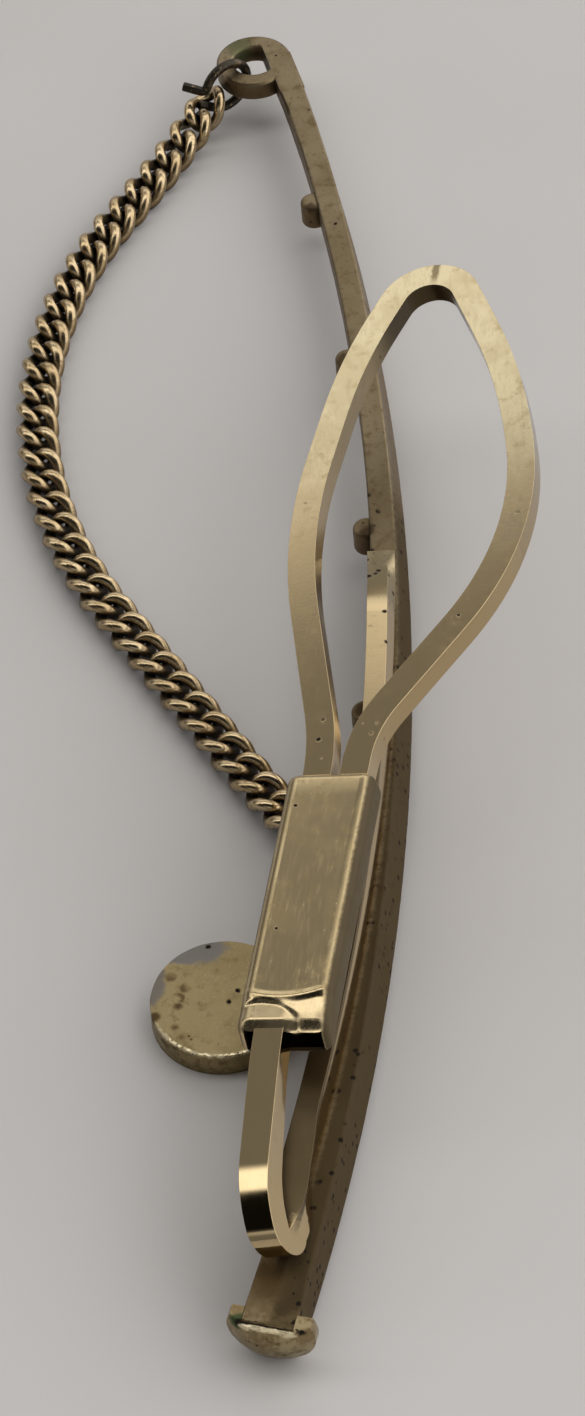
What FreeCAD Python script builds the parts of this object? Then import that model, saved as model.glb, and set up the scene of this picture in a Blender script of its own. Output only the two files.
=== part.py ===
"""Tie clip made as a little fishing rod: bowed rod, reel, sprung wire clip and a curb chain as the line.

It lies on its front with its flat back up. The origin is the middle of the reel's front face,
+Y runs along the rod towards its tip, +X points away from the chain and +Z is up. Sizes are millimetres.
"""
import FreeCAD
import Part

import math
import os

import Sketcher

Vector = FreeCAD.Vector

# Driving sizes: name, value, meaning.
SIZES = [
    ("rod_bow_radius", 122.4, "outer edge of the bowed rod"),
    ("rod_bow_reach", 7.34, "outer edge at the middle of the bow, to the side of the reel"),
    ("rod_bow_along", 17.9, "middle of the bow, along from the reel"),
    ("rod_tip_reach", 30.2, "middle of the bow to the end of the shaft at the tip"),
    ("rod_butt_reach", 32.2, "middle of the bow to the end of the grip"),
    ("rod_tip_width", 1.05, "shaft at the tip"),
    ("rod_middle_width", 1.5, "shaft at the middle of the bow"),
    ("rod_grip_width", 2.35, "grip at the butt"),
    ("rod_thickness", 2.2, "grip, from the flat back to the front"),
    ("rod_tip_thickness", 1.2, "shaft at the tip, from back to front"),
    ("rod_rounding", 0.45, "rounding of the shaft's front edges"),
    ("rod_back_rounding", 0.1, "rounding of the shaft's back edges"),
    ("grip_draw_in", 0.42, "outer edge at the butt, inside the circle of the bow"),
    ("front_draw_out", 0.33, "front's outer edge outside the bow's radius, at the middle of the bow"),
    ("back_draw_in", 0.5, "back's outer edge inside the bow's radius, at the middle of the bow"),
    ("back_butt_draw_in", 0.08, "back's outer edge inside the front's, at the end of the grip"),
    ("tongue_length", 0.6, "grip's tongue, let into the back of the butt cap"),
    ("tongue_thickness", 0.8, "grip's tongue"),
    ("tongue_margin", 0.05, "grip past its tongue, on each side"),
    ("guide_size", 1.05, "knob that stands for a line guide"),
    ("guide_height", 1.15, "knob from its flat back to its front"),
    ("guide_edge", 0.14, "rounding of a knob"),
    ("guide_stand_off", 0.12, "knob's middle outside the inner edge"),
    ("guide_recess", 0.14, "knob's back below the flat back"),
    ("guide_spacing", 9.3, "between line guides"),
    ("guide_first", 12.15, "lowest line guide, along from the reel"),
    ("tip_eye_reach", 1.6, "tip eye, from its middle to its outer edge"),
    ("tip_eye_band", 0.72, "tip eye across its band"),
    ("tip_eye_thickness", 0.9, "tip eye"),
    ("tip_eye_edge", 0.15, "rounding of the tip eye"),
    ("eye_recess", 0.02, "top of both eyes below the flat back"),
    ("tip_eye_past", 1.2767, "middle of the tip eye, past the shaft's end"),
    ("chain_eye_radius", 1.0, "middle line of the eye that holds the chain's lower end"),
    ("chain_eye_stock", 0.7, "thickness of that eye"),
    ("chain_eye_along", 4.9, "that eye, along from the reel"),
    ("chain_eye_stand_off", 0.55, "eye centre outside the inner edge"),
    ("reel_diameter", 5.2, "reel disc"),
    ("reel_thickness", 1.0, "reel disc"),
    ("reel_edge", 0.12, "rounding of the reel's back edge"),
    ("reel_groove_radius", 1.75, "inner side of the ring groove in the reel's front"),
    ("reel_groove_width", 0.3, "ring groove"),
    ("reel_groove_depth", 0.2, "ring groove"),
    ("foot_width", 1.8, "foot between reel and rod"),
    ("foot_thickness", 0.8, "foot between reel and rod"),
    ("foot_height", 0.1, "foot above the front face"),
    ("solder_gap", 0.02, "between soldered pieces"),
    ("cap_diameter", 3.06, "butt cap"),
    ("cap_length", 1.0, "butt cap along the rod"),
    ("cap_dome_radius", 2.2, "domed end of the butt cap"),
    ("cap_inset", 0.2, "cap axis, inward from the middle of the grip"),
    ("wire_width", 1.05, "clip wire across its flat"),
    ("wire_thickness", 0.9, "clip wire through its flat"),
    ("leg_overhang", 0.12, "soldered leg past the rod's inner edge"),
    ("leg_end_along", 2.1, "soldered leg's end, past the middle of the bow"),
    ("bend_radius", 0.5, "middle line of the hairpin bend where it is tightest"),
    ("bend_arm_radius", 1.5, "middle line where the bend opens into the arm"),
    ("bend_reach", 1.403, "end of the hairpin bend, to the side of the reel"),
    ("bend_along", 11.9, "end of the hairpin bend, back from the reel"),
    ("bend_lift", 0.12, "room under the hairpin bend"),
    ("hinge_clearance", 0.02, "between the two halves of the bend"),
    ("sleeve_width", 3.3, "sleeve across"),
    ("sleeve_wall", 0.25, "sleeve"),
    ("sleeve_play", 0.05, "between the wire and the sleeve's flat walls"),
    ("sleeve_corner", 0.6, "outer rounding of the sleeve"),
    ("sleeve_bore_corner", 0.2, "inner rounding of the sleeve"),
    ("sleeve_length", 11.2, "sleeve along the wire"),
    ("sleeve_start", 7.1, "sleeve's mouth, from the hairpin bend"),
    ("sleeve_shift", 0.7, "sleeve's middle, beside the arm's middle"),
    ("sleeve_offset", 0.15, "sleeve, inward from the middle between its two legs"),
    ("inner_leg_offset", 0.62, "arm inside the sleeve, from the sleeve's middle"),
    ("outer_leg_offset", 0.55, "loop's returning leg, from the sleeve's middle"),
    ("leg_tail", 4.0, "returning leg's end above the sleeve's mouth"),
    ("loop_length", 26.3, "loop past the sleeve, to the corner of its point"),
    ("loop_width", 9.18, "between the corners of the loop's two sides"),
    ("ring_bore", 1.75, "jump rings"),
    ("ring_wire", 0.4, "jump rings"),
    ("ring_play", 0.07, "between a jump ring and its eye"),
    ("link_wire", 0.46, "chain link wire"),
    ("link_width", 1.74, "chain across its flat"),
    ("link_twist_height", 0.95, "rise of a link's wire over its half width or length"),
    ("link_play", 0.1, "between neighbouring links"),
    ("ring_hook_play", 0.17, "between a jump ring and the link hooked into it"),
    ("table_gap", 0.02, "under the chain"),
    ("chain_bulge", 12.0, "corner of the chain's route, from the line between its rings"),
    ("chain_bow_radius", 21.0, "chain's route round that corner"),
    ("chain_settle", 5.0, "length in which the chain comes down to the table"),
    ("cut_overrun", 1.0, "cutting solids past what they cut"),
]

# Angles in degrees and counts.
CLIP_HEADING = 5.0
CLIP_SLOPE = 2.4
CLIP_ROLL = 12.0
SLEEVE_TURN = 6.0
TIP_RING_HEADING = 126.0
END_RING_HEADING = 29.0
RING_DROOP = 25.0
GUIDE_COUNT = 4
LINK_COUNT = 37

# Corner of the chain's route, as a share of the way from the tip ring to the end ring.
CHAIN_CORNER_SHARE = 0.40

# Corners of the loop's middle line, from the returning leg over the point to the arm: across as a share of
# the loop's width, along as a share of its length, and the share of the shorter run that its rounding takes.
LOOP_SHARES = [
    (0.069, 0.076, 0.15),
    (0.609, 0.401, 0.56),
    (0.412, 0.7, 0.4),
    (-0.022, 1.0, 0.56),
    (-0.305, 0.748, 0.36),
    (-0.391, 0.421, 0.43),
    (-0.085, 0.053, 0.14),
]
MOUTH_ROUNDING_SHARE = 0.3

# Waste under the rod's front, as a multiple of the bow's reach, so that it cuts right across.
WASTE_SHARE = 4

# Stations of the soldered leg between the bend and its end; over the blend it turns flat onto the rod.
LEG_SHARES = [0.01, 0.02, 0.035, 0.05, 0.065, 0.08, 0.16, 0.25,
              0.35, 0.45, 0.55, 0.65, 0.75, 0.85, 0.93, 1.0]
LEG_BLEND_SHARE = 0.08
BEND_STEPS = 8

# Turn of the bend, from its end, over which it is tightest on the arm's side.
BEND_TIGHT_TURN = 30.0
QUARTER_TURN = 90.0
FULL_TURN = 360.0

# A bore that leaves more than this share of the block went the wrong way.
UNBORED_SHARE = 0.9

# Least share of an edge's heading along the sleeve, for an edge that runs its length.
ALONG_SHARE = 0.99

doc = FreeCAD.newDocument("tie_clip")
sheet = doc.addObject("Spreadsheet::Sheet", "Sizes")
for row, (name, value, meaning) in enumerate(SIZES, start=1):
    sheet.set(f"A{row}", meaning)
    sheet.set(f"B{row}", str(value))
    sheet.setAlias(f"B{row}", name)
doc.recompute()


def size(name):
    """A driving size, read from the sheet."""
    return float(sheet.get(name))


def bind(obj, **expressions):
    """Tie an object's properties to cells of the sheet."""
    for prop, expression in expressions.items():
        for name, _, _ in SIZES:
            expression = expression.replace("<" + name + ">", "Sizes." + name)
        obj.setExpression(prop, expression)
    return obj


def primitive(kind, name, placement, **expressions):
    """A Part primitive with its sizes bound to the sheet."""
    obj = doc.addObject("Part::" + kind, name)
    bind(obj, **expressions)
    obj.Placement = placement
    return obj


def combine(kind, name, base, tool):
    """A boolean of two objects."""
    obj = doc.addObject("Part::" + kind, name)
    obj.Base = base
    obj.Tool = tool
    return obj


def shaped(name, shape, placement=FreeCAD.Placement()):
    """An object that holds a shape made here."""
    obj = doc.addObject("Part::Feature", name)
    obj.Shape = shape
    obj.Placement = placement * shape.Placement
    return obj


def axes(origin, x_axis, y_axis, z_axis):
    """Placement that puts the X, Y and Z axes along three unit vectors."""
    return FreeCAD.Placement(origin, FreeCAD.Rotation(x_axis, y_axis, z_axis, "ZXY"))


def polygon_sketch(body, role, name, corners):
    """Closed sketch on one of the body's origin planes; each corner is a pair of expressions."""
    plane = [feature for feature in body.Origin.OriginFeatures if feature.Role == role][0]
    sketch = body.newObject("Sketcher::SketchObject", name)
    sketch.AttachmentSupport = [(plane, "")]
    sketch.MapMode = "FlatFace"
    count = len(corners)
    spread = [Vector(math.cos(math.tau * i / count), math.sin(math.tau * i / count), 0) for i in range(count)]
    for i in range(count):
        sketch.addGeometry(Part.LineSegment(spread[i], spread[(i + 1) % count]))
    for i in range(count):
        sketch.addConstraint(Sketcher.Constraint("Coincident", i, 2, (i + 1) % count, 1))
    for i, (across, up) in enumerate(corners):
        for kind, expression, start in (("DistanceX", across, spread[i].x), ("DistanceY", up, spread[i].y)):
            number = sketch.addConstraint(Sketcher.Constraint(kind, -1, 1, i, 1, start))
            bind(sketch, **{f"Constraints[{number}]": expression})
    return sketch


def corner_arc(before, corner, after, reach):
    """Arc that leaves the run before a corner and joins the run after it, at one reach from the corner."""
    back = (before - corner).normalize()
    ahead = (after - corner).normalize()
    half_turn = (math.pi - back.getAngle(ahead)) / 2
    radius = reach / math.tan(half_turn)
    top = corner + (back + ahead).normalize() * (radius / math.cos(half_turn) - radius)
    return Part.Arc(corner + back * reach, top, corner + ahead * reach).toShape()


def rounded_route(points, rounding_shares):
    """Edges along straight runs with a tangent arc at each corner, over a share of the shorter run."""
    edges = []
    last = points[0]
    for before, corner, after, share in zip(points, points[1:], points[2:], rounding_shares):
        reach = share * min((before - corner).Length, (after - corner).Length)
        arc = corner_arc(before, corner, after, reach)
        edges.append(Part.LineSegment(last, arc.firstVertex(True).Point).toShape())
        edges.append(arc)
        last = arc.lastVertex(True).Point
    edges.append(Part.LineSegment(last, points[-1]).toShape())
    return edges


# Rod: where its edges run.

BOW_CENTRE = Vector(size("rod_bow_reach") - size("rod_bow_radius"), size("rod_bow_along"), 0)
BACK = size("rod_thickness")


def rod_angle(along):
    """Angle round the bow's centre for a distance along from the reel."""
    return math.asin((along - size("rod_bow_along")) / size("rod_bow_radius"))


def across_bow(angle):
    """Unit vector from the bow's centre outwards."""
    return Vector(math.cos(angle), math.sin(angle), 0)


def along_bow(angle):
    """Unit vector along the bow towards the tip."""
    return Vector(-math.sin(angle), math.cos(angle), 0)


def end_angles():
    """Angles round the bow's centre of the shaft's tip and of the grip's end."""
    return (rod_angle(size("rod_bow_along") + size("rod_tip_reach")),
            rod_angle(size("rod_bow_along") - size("rod_butt_reach")))


def inner_arc():
    """Inner edge of the shaft: one arc through the tip's, the middle's and the grip's width."""
    tip, butt = end_angles()
    widths = ((tip, "rod_tip_width"), (0, "rod_middle_width"), (butt, "rod_grip_width"))
    points = [BOW_CENTRE + across_bow(angle) * (size("rod_bow_radius") - size(width))
              for angle, width in widths]
    return Part.Arc(*points).toShape()


INNER = inner_arc().Curve


def inner_edge(along, inset=0.0):
    """Point at the front level under the shaft's inner edge, moved into the shaft by an inset."""
    angle = math.asin((along - INNER.Center.y) / INNER.Radius)
    return INNER.Center + across_bow(angle) * (INNER.Radius + inset)


def outer_ends(inset_at_butt=0.0):
    """Outer edge's points at the shaft's tip and at the grip's end."""
    tip, butt = end_angles()
    at_butt = size("rod_bow_radius") - size("grip_draw_in") - inset_at_butt
    at_tip = size("rod_bow_radius")
    return BOW_CENTRE + across_bow(tip) * at_tip, BOW_CENTRE + across_bow(butt) * at_butt


def shaft_outline(height, inset_at_middle, inset_at_butt):
    """Level outline of the shaft; its outer edge is drawn in by two insets."""
    tip_end, butt_end = outer_ends(inset_at_butt)
    middle = BOW_CENTRE + across_bow(0) * (size("rod_bow_radius") - inset_at_middle)
    inner = inner_arc()
    outline = Part.Wire([
        Part.Arc(butt_end, middle, tip_end).toShape(),
        Part.LineSegment(tip_end, inner.firstVertex(True).Point).toShape(),
        inner,
        Part.LineSegment(inner.lastVertex(True).Point, butt_end).toShape(),
    ])
    outline.translate(Vector(0, 0, height))
    return outline


def shaft_shape():
    """Bowed shaft: narrower flat back, sloping outer flank, front that rises to the tip, rounded edges."""
    tip_end, butt_end = outer_ends()
    back_outline = shaft_outline(BACK, size("back_draw_in"), size("back_butt_draw_in"))
    block = Part.makeLoft([shaft_outline(0, -size("front_draw_out"), 0), back_outline], True, True)
    rise = math.atan2(BACK - size("rod_tip_thickness"), tip_end.y - butt_end.y)
    wide = WASTE_SHARE * size("rod_bow_reach")
    waste = Part.makeBox(2 * wide, 2 * (tip_end.y - butt_end.y), BACK)
    low_start = Vector(-wide, butt_end.y, -BACK)
    waste.Placement = FreeCAD.Placement(low_start, FreeCAD.Rotation(Vector(1, 0, 0), math.degrees(rise)),
                                        Vector(0, 0, BACK))
    shaft = block.cut(waste)
    long_runs = [edge for edge in shaft.Edges if edge.Length > size("rod_tip_reach")]
    front = [edge for edge in long_runs if edge.CenterOfMass.z < BACK / 2]
    rounded = shaft.makeFillet(size("rod_rounding"), front)
    long_runs = [edge for edge in rounded.Edges if edge.Length > size("rod_tip_reach")]
    back = [edge for edge in long_runs if edge.CenterOfMass.z > BACK - size("rod_back_rounding")]
    return rounded.makeFillet(size("rod_back_rounding"), back)


def tongue_block(play):
    """Block that carries the grip's back on into the butt cap, grown all round by a play."""
    butt = end_angles()[1]
    outer_reach = size("rod_bow_radius") - size("grip_draw_in") - size("back_butt_draw_in")
    inner_reach = size("rod_bow_radius") - size("rod_grip_width")
    width = outer_reach - inner_reach - 2 * size("tongue_margin") + 2 * play
    start = BOW_CENTRE + across_bow(butt) * (outer_reach - size("tongue_margin") + play)
    low = BACK - size("tongue_thickness") - play
    start = start + along_bow(butt) * size("cut_overrun") + Vector(0, 0, low)
    length = size("cut_overrun") + size("tongue_length") + play
    height = size("tongue_thickness")
    if play:
        height += size("cut_overrun")
    block = Part.makeBox(width, length, height)
    turn = FreeCAD.Rotation(across_bow(butt) * -1, along_bow(butt) * -1, Vector(0, 0, 1), "XZY")
    block.Placement = FreeCAD.Placement(start, turn)
    return block


def round_edges(shape):
    """Edges that run full circle."""
    return [edge for edge in shape.Edges if len(edge.Vertexes) == 1]


def tip_eye_shape():
    """Flat ring at the tip with rounded edges, and the end of the shaft that runs up its outer side."""
    tip = end_angles()[0]
    centre = tip_eye_centre()
    low = centre - Vector(0, 0, size("tip_eye_thickness") / 2)
    disc = Part.makeCylinder(size("tip_eye_reach"), size("tip_eye_thickness"), low)
    hole = Part.makeCylinder(size("tip_eye_reach") - size("tip_eye_band"), size("tip_eye_thickness"), low)
    ring = disc.cut(hole)
    ring = ring.makeFillet(size("tip_eye_edge"), round_edges(ring))
    width = size("rod_tip_width")
    neck = Part.makeBox(width, size("tip_eye_past") + width, size("tip_eye_thickness"))
    cheek = Part.makeBox(width, size("tip_eye_reach"), size("tip_eye_thickness"))
    corner = outer_ends()[0] - across_bow(tip) * width - along_bow(tip) * width
    turn = FreeCAD.Rotation(across_bow(tip), along_bow(tip), Vector(0, 0, 1), "XZY")
    neck.Placement = FreeCAD.Placement(corner + Vector(0, 0, low.z), turn)
    middle = corner + along_bow(tip) * (size("tip_eye_past") + width)
    cheek.Placement = FreeCAD.Placement(middle + Vector(0, 0, low.z), turn)
    inside = Part.makeCylinder(size("tip_eye_reach") - size("tip_eye_edge"), size("tip_eye_thickness"), low)
    return ring, neck.fuse(cheek.common(inside))


def knob_shape(along):
    """Flat-backed knob on the shaft's inner edge."""
    low = BACK - size("guide_recess") - size("guide_height")
    start = inner_edge(along, -size("guide_stand_off")) + Vector(0, 0, low)
    knob = Part.makeCylinder(size("guide_size") / 2, size("guide_height"), start)
    return knob.makeFillet(size("guide_edge"), round_edges(knob))


def build_rod():
    """Casting: shaft with its tongue, line guides, both eyes and the foot that carries the reel."""
    ring, neck = tip_eye_shape()
    shaft = shaft_shape().fuse(neck)
    pieces = [shaped("rod_shaft", shaft), shaped("tip_eye", ring), shaped("tongue", tongue_block(0))]
    for number in range(GUIDE_COUNT):
        along = size("guide_first") + number * size("guide_spacing")
        pieces.append(shaped(f"guide_{number + 1}", knob_shape(along)))
    pieces.append(primitive("Torus", "chain_eye", FreeCAD.Placement(chain_eye_centre(), FreeCAD.Rotation()),
                            Radius1="<chain_eye_radius>", Radius2="<chain_eye_stock> / 2"))
    foot_start = Vector(0, -size("foot_width") / 2, size("foot_height"))
    foot = primitive("Box", "foot_block", FreeCAD.Placement(foot_start, FreeCAD.Rotation()),
                     Width="<foot_width>", Height="<foot_thickness>")
    foot.Length = inner_edge(0, size("rod_middle_width") / 2).x
    seat_start = FreeCAD.Placement(Vector(0, 0, -size("cut_overrun")), FreeCAD.Rotation())
    seat = primitive("Cylinder", "foot_seat", seat_start, Radius="<reel_diameter> / 2 + <solder_gap>",
                     Height="<reel_thickness> + 2 * <cut_overrun>")
    pieces.append(combine("Cut", "reel_foot", foot, seat))
    rod = doc.addObject("Part::MultiFuse", "rod")
    rod.Shapes = pieces
    return rod


def tip_eye_centre():
    """Middle of the tip eye, whose outer edge carries on the shaft's."""
    tip = end_angles()[0]
    plan = outer_ends()[0] - across_bow(tip) * size("tip_eye_reach") + along_bow(tip) * size("tip_eye_past")
    return plan + Vector(0, 0, BACK - size("eye_recess") - size("tip_eye_thickness") / 2)


def chain_eye_centre():
    edge = inner_edge(size("chain_eye_along"), -size("chain_eye_stand_off"))
    return edge + Vector(0, 0, BACK - size("eye_recess") - size("chain_eye_stock") / 2)


def build_reel():
    """Plain disc with a ring groove in its front."""
    body = doc.addObject("PartDesign::Body", "reel")
    disc = polygon_sketch(body, "XZ_Plane", "reel_profile", [
        ("0", "0"), ("<reel_diameter> / 2", "0"),
        ("<reel_diameter> / 2", "<reel_thickness>"), ("0", "<reel_thickness>")])
    turned = body.newObject("PartDesign::Revolution", "reel_disc")
    turned.Profile = disc
    turned.ReferenceAxis = (disc, ["V_Axis"])
    turned.Angle = FULL_TURN
    doc.recompute()
    groove_end = "<reel_groove_radius> + <reel_groove_width>"
    groove_profile = polygon_sketch(body, "XZ_Plane", "groove_profile", [
        ("<reel_groove_radius>", "0"), (groove_end, "0"),
        (groove_end, "<reel_groove_depth>"), ("<reel_groove_radius>", "<reel_groove_depth>")])
    groove = body.newObject("PartDesign::Groove", "reel_groove")
    groove.Profile = groove_profile
    groove.ReferenceAxis = (groove_profile, ["V_Axis"])
    groove.Angle = FULL_TURN
    doc.recompute()
    edge = body.newObject("PartDesign::Fillet", "reel_rounding")
    back_edges = [f"Edge{i}" for i, e in enumerate(groove.Shape.Edges, start=1)
                  if e.Vertexes[0].Point.z > size("reel_thickness") / 2 and len(e.Vertexes) == 1]
    edge.Base = (groove, back_edges)
    bind(edge, Radius="<reel_edge>")
    return body


def build_butt_cap():
    """Round button with a domed end, cut flat in line with the rod's back."""
    angle = end_angles()[1]
    middle = size("rod_bow_radius") - size("rod_grip_width") / 2 - size("cap_inset")
    axis = along_bow(angle) * -1
    start = BOW_CENTRE + across_bow(angle) * middle + Vector(0, 0, size("cap_diameter") / 2)
    turn = axes(start, across_bow(angle) * -1, Vector(0, 0, 1), axis)
    disc = primitive("Cylinder", "cap_disc", turn, Radius="<cap_diameter> / 2", Height="<cap_length>")
    inward = axes(start + axis * (size("cap_length") - size("cap_dome_radius")),
                  across_bow(angle) * -1, Vector(0, 0, 1), axis)
    dome = primitive("Sphere", "cap_dome", inward, Radius="<cap_dome_radius>")
    button = combine("Common", "cap_button", disc, dome)
    corner = start + Vector(0, 0, BACK - start.z)
    corner = corner - axis * size("cut_overrun") + across_bow(angle) * size("cap_diameter")
    flat = primitive("Box", "cap_flat", axes(corner, across_bow(angle) * -1, axis, Vector(0, 0, 1)),
                     Length="2 * <cap_diameter>", Width="<cap_length> + 2 * <cut_overrun>",
                     Height="<cap_diameter>")
    halved = combine("Cut", "cap_halved", button, flat)
    return combine("Cut", "butt_cap", halved, shaped("cap_notch", tongue_block(size("solder_gap"))))


# Clip: its own frame stands at the top of the hairpin bend, +Y along the arm, +Z away from the rod.

def clip_frame():
    heading, slope, roll = (math.radians(angle) for angle in (CLIP_HEADING, CLIP_SLOPE, CLIP_ROLL))
    along = Vector(math.sin(heading) * math.cos(slope), math.cos(heading) * math.cos(slope), math.sin(slope))
    level = Vector(math.cos(heading), -math.sin(heading), 0)
    square = level.cross(along)
    across = level * math.cos(roll) + square * math.sin(roll)
    away = square * math.cos(roll) - level * math.sin(roll)
    height = BACK + size("wire_thickness") / 2 + size("bend_lift") + size("bend_radius") * away.z
    return axes(Vector(size("bend_reach"), -size("bend_along"), height), across, along, away)


def bend_side(turn, radius, start):
    """Point of the bend's middle line on the arm's side, after a turn from the start of its arc."""
    first = math.radians(start)
    angle = math.radians(turn)
    along = math.cos(first) - math.cos(angle)
    up = math.sin(angle) - math.sin(first)
    return Vector(0, radius * along, radius * up)


def bend_points():
    """Points of the bend's two arcs on the arm's side, from its end to the arm."""
    tight = [bend_side(turn, size("bend_radius"), 0.0)
             for turn in (0.0, BEND_TIGHT_TURN / 2, BEND_TIGHT_TURN)]
    opened = [tight[-1] + bend_side(turn, size("bend_arm_radius"), BEND_TIGHT_TURN)
              for turn in (BEND_TIGHT_TURN, (BEND_TIGHT_TURN + QUARTER_TURN) / 2, QUARTER_TURN)]
    return tight, opened


def sleeve_frame():
    """The sleeve's mouth: +Y along the sleeve, in the plane of the arm."""
    mouth = Vector(size("sleeve_shift"), size("sleeve_start"), bend_points()[1][-1].z)
    return clip_frame() * FreeCAD.Placement(mouth, FreeCAD.Rotation(Vector(0, 0, 1), -SLEEVE_TURN))


def wire_section(centre, across, through):
    """Rectangle of the clip wire round a point."""
    side = across * (size("wire_width") / 2)
    rise = through * (size("wire_thickness") / 2)
    return Part.makePolygon([centre - side - rise, centre + side - rise, centre + side + rise,
                             centre - side + rise, centre - side - rise])


def hinge_cylinder(name, play):
    """Round end about the axis on which the bend flexes."""
    frame = clip_frame()
    turn = frame.Rotation
    across = turn.multVec(Vector(1, 0, 0))
    start = frame.Base - across * (size("wire_width") / 2 + (size("cut_overrun") if play else 0))
    placement = axes(start, turn.multVec(Vector(0, 1, 0)), turn.multVec(Vector(0, 0, 1)), across)
    extra = " + <hinge_clearance>" if play else ""
    longer = " + 2 * <cut_overrun>" if play else ""
    return primitive("Cylinder", name, placement, Radius="<wire_thickness> / 2" + extra,
                     Height="<wire_width>" + longer)


def loop_point(across_share, along_share):
    """Corner of the loop's middle line in the sleeve's frame."""
    along = size("sleeve_length") + along_share * size("loop_length")
    return Vector(across_share * size("loop_width"), along, 0)


def build_clip_wire():
    """Upper half of the bend, the arm, and the loop whose end comes back into the sleeve."""
    clip = clip_frame()
    sleeve = sleeve_frame()
    arcs = [[clip.multVec(point) for point in arc] for arc in bend_points()]
    bend = [Part.Arc(*arc).toShape() for arc in arcs]
    points = [arcs[-1][-1], sleeve.multVec(Vector(-size("inner_leg_offset"), 0, 0))]
    points += [sleeve.multVec(loop_point(across, along)) for across, along, _ in reversed(LOOP_SHARES)]
    points.append(sleeve.multVec(Vector(size("outer_leg_offset"), size("leg_tail"), 0)))
    rounding_shares = [MOUTH_ROUNDING_SHARE] + [share for _, _, share in reversed(LOOP_SHARES)]
    path = Part.Wire(bend + rounded_route(points, rounding_shares))
    turn = clip.Rotation
    section = wire_section(clip.Base, turn.multVec(Vector(1, 0, 0)), turn.multVec(Vector(0, 1, 0)))
    swept = shaped("clip_sweep", path.makePipeShell([section], True, False))
    wire = combine("Fuse", "clip_wire", swept, hinge_cylinder("hinge_round", False))
    return wire


def build_spring_leg():
    """Lower half of the bend and the leg that is soldered along the rod's back."""
    clip = clip_frame()
    turn = clip.Rotation
    across, along, away = (turn.multVec(Vector(*unit)) for unit in ((1, 0, 0), (0, 1, 0), (0, 0, 1)))
    radius = size("bend_radius")
    sections = []
    for step in range(BEND_STEPS + 1):
        angle = math.pi / 2 * step / BEND_STEPS
        centre = clip.Base + along * (radius * (1 - math.cos(angle))) - away * (radius * math.sin(angle))
        through = along * math.cos(angle) + away * math.sin(angle)
        sections.append(wire_section(centre, across, through))
    foot = clip.Base + (along - away) * radius
    end = size("rod_bow_along") + size("leg_end_along")
    middle = size("wire_width") / 2 - size("leg_overhang")
    for way in LEG_SHARES:
        y = foot.y + (end - foot.y) * way
        seat = inner_edge(y, middle) + Vector(0, 0, BACK + size("wire_thickness") / 2)
        blend = max(0.0, 1 - way / LEG_BLEND_SHARE) ** 2
        start = foot + along * ((y - foot.y) / along.y)
        flat = math.asin((y - INNER.Center.y) / INNER.Radius)
        side = (across_bow(flat) * (1 - blend) + across * blend).normalize()
        heading = along_bow(flat)
        centre = seat * (1 - blend) + start * blend
        sections.append(wire_section(centre, side, side.cross(heading).normalize()))
    leg = shaped("leg_loft", Part.makeLoft(sections, True, True))
    return combine("Cut", "spring_leg", leg, hinge_cylinder("hinge_hollow", True))


def build_sleeve():
    """Flattened tube that holds both ends of the loop together."""
    body = doc.addObject("PartDesign::Body", "sleeve")
    half_width = "<sleeve_width> / 2"
    half_height = "(<wire_thickness> / 2 + <sleeve_play> + <sleeve_wall>)"
    outline = polygon_sketch(body, "XZ_Plane", "sleeve_outline", [
        ("-" + half_width, "-" + half_height), (half_width, "-" + half_height),
        (half_width, half_height), ("-" + half_width, half_height)])
    pad = body.newObject("PartDesign::Pad", "sleeve_block")
    pad.Profile = outline
    pad.Reversed = True
    bind(pad, Length="<sleeve_length>")
    doc.recompute()
    outer = long_edges(body, pad, "sleeve_outer_rounding", "<sleeve_corner>")
    inner_width = "(<sleeve_width> / 2 - <sleeve_wall>)"
    inner_height = "(<wire_thickness> / 2 + <sleeve_play>)"
    hollow = polygon_sketch(body, "XZ_Plane", "sleeve_hollow", [
        ("-" + inner_width, "-" + inner_height), (inner_width, "-" + inner_height),
        (inner_width, inner_height), ("-" + inner_width, inner_height)])
    pocket = body.newObject("PartDesign::Pocket", "sleeve_bore")
    pocket.Profile = hollow
    pocket.Type = "ThroughAll"
    doc.recompute()
    if pocket.Shape.Volume > UNBORED_SHARE * outer.Shape.Volume:
        pocket.Reversed = True
        doc.recompute()
    known = [edge.CenterOfMass for edge in outer.Shape.Edges]
    long_edges(body, pocket, "sleeve_inner_rounding", "<sleeve_bore_corner>", known)
    inward = FreeCAD.Placement(Vector(-size("sleeve_offset"), 0, 0), FreeCAD.Rotation())
    body.Placement = sleeve_frame() * inward
    return body


def long_edges(body, base, name, radius, known=()):
    """Round the edges that run the whole length of the sleeve, apart from those already there."""
    half = size("sleeve_length") / 2
    chosen = [f"Edge{i}" for i, edge in enumerate(base.Shape.Edges, start=1)
              if edge.Length > half and abs(edge.tangentAt(edge.FirstParameter).y) > ALONG_SHARE
              and not any((edge.CenterOfMass - place).Length < size("hinge_clearance") for place in known)]
    rounding = body.newObject("PartDesign::Fillet", name)
    rounding.Base = (base, chosen)
    bind(rounding, Radius=radius)
    doc.recompute()
    return rounding


# Chain: two jump rings and a row of twisted links along a bent route between them.

def heading_vector(degrees):
    """Level unit vector at an angle from +Y towards -X."""
    return Vector(-math.sin(math.radians(degrees)), math.cos(math.radians(degrees)), 0)


def ring_places(eye_centre, eye_radius, eye_stock, degrees):
    """Middle of the eye's stock under the ring, the ring's centre and its far side, where a link hooks in."""
    out = heading_vector(degrees)
    droop = math.radians(RING_DROOP)
    slope = out * math.cos(droop) - Vector(0, 0, math.sin(droop))
    held = eye_centre + out * eye_radius
    centre = held + slope * (size("ring_bore") / 2 - eye_stock / 2 - size("ring_play"))
    far = centre + slope * ((size("ring_bore") + size("ring_wire")) / 2)
    return held, centre, far, slope


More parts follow.
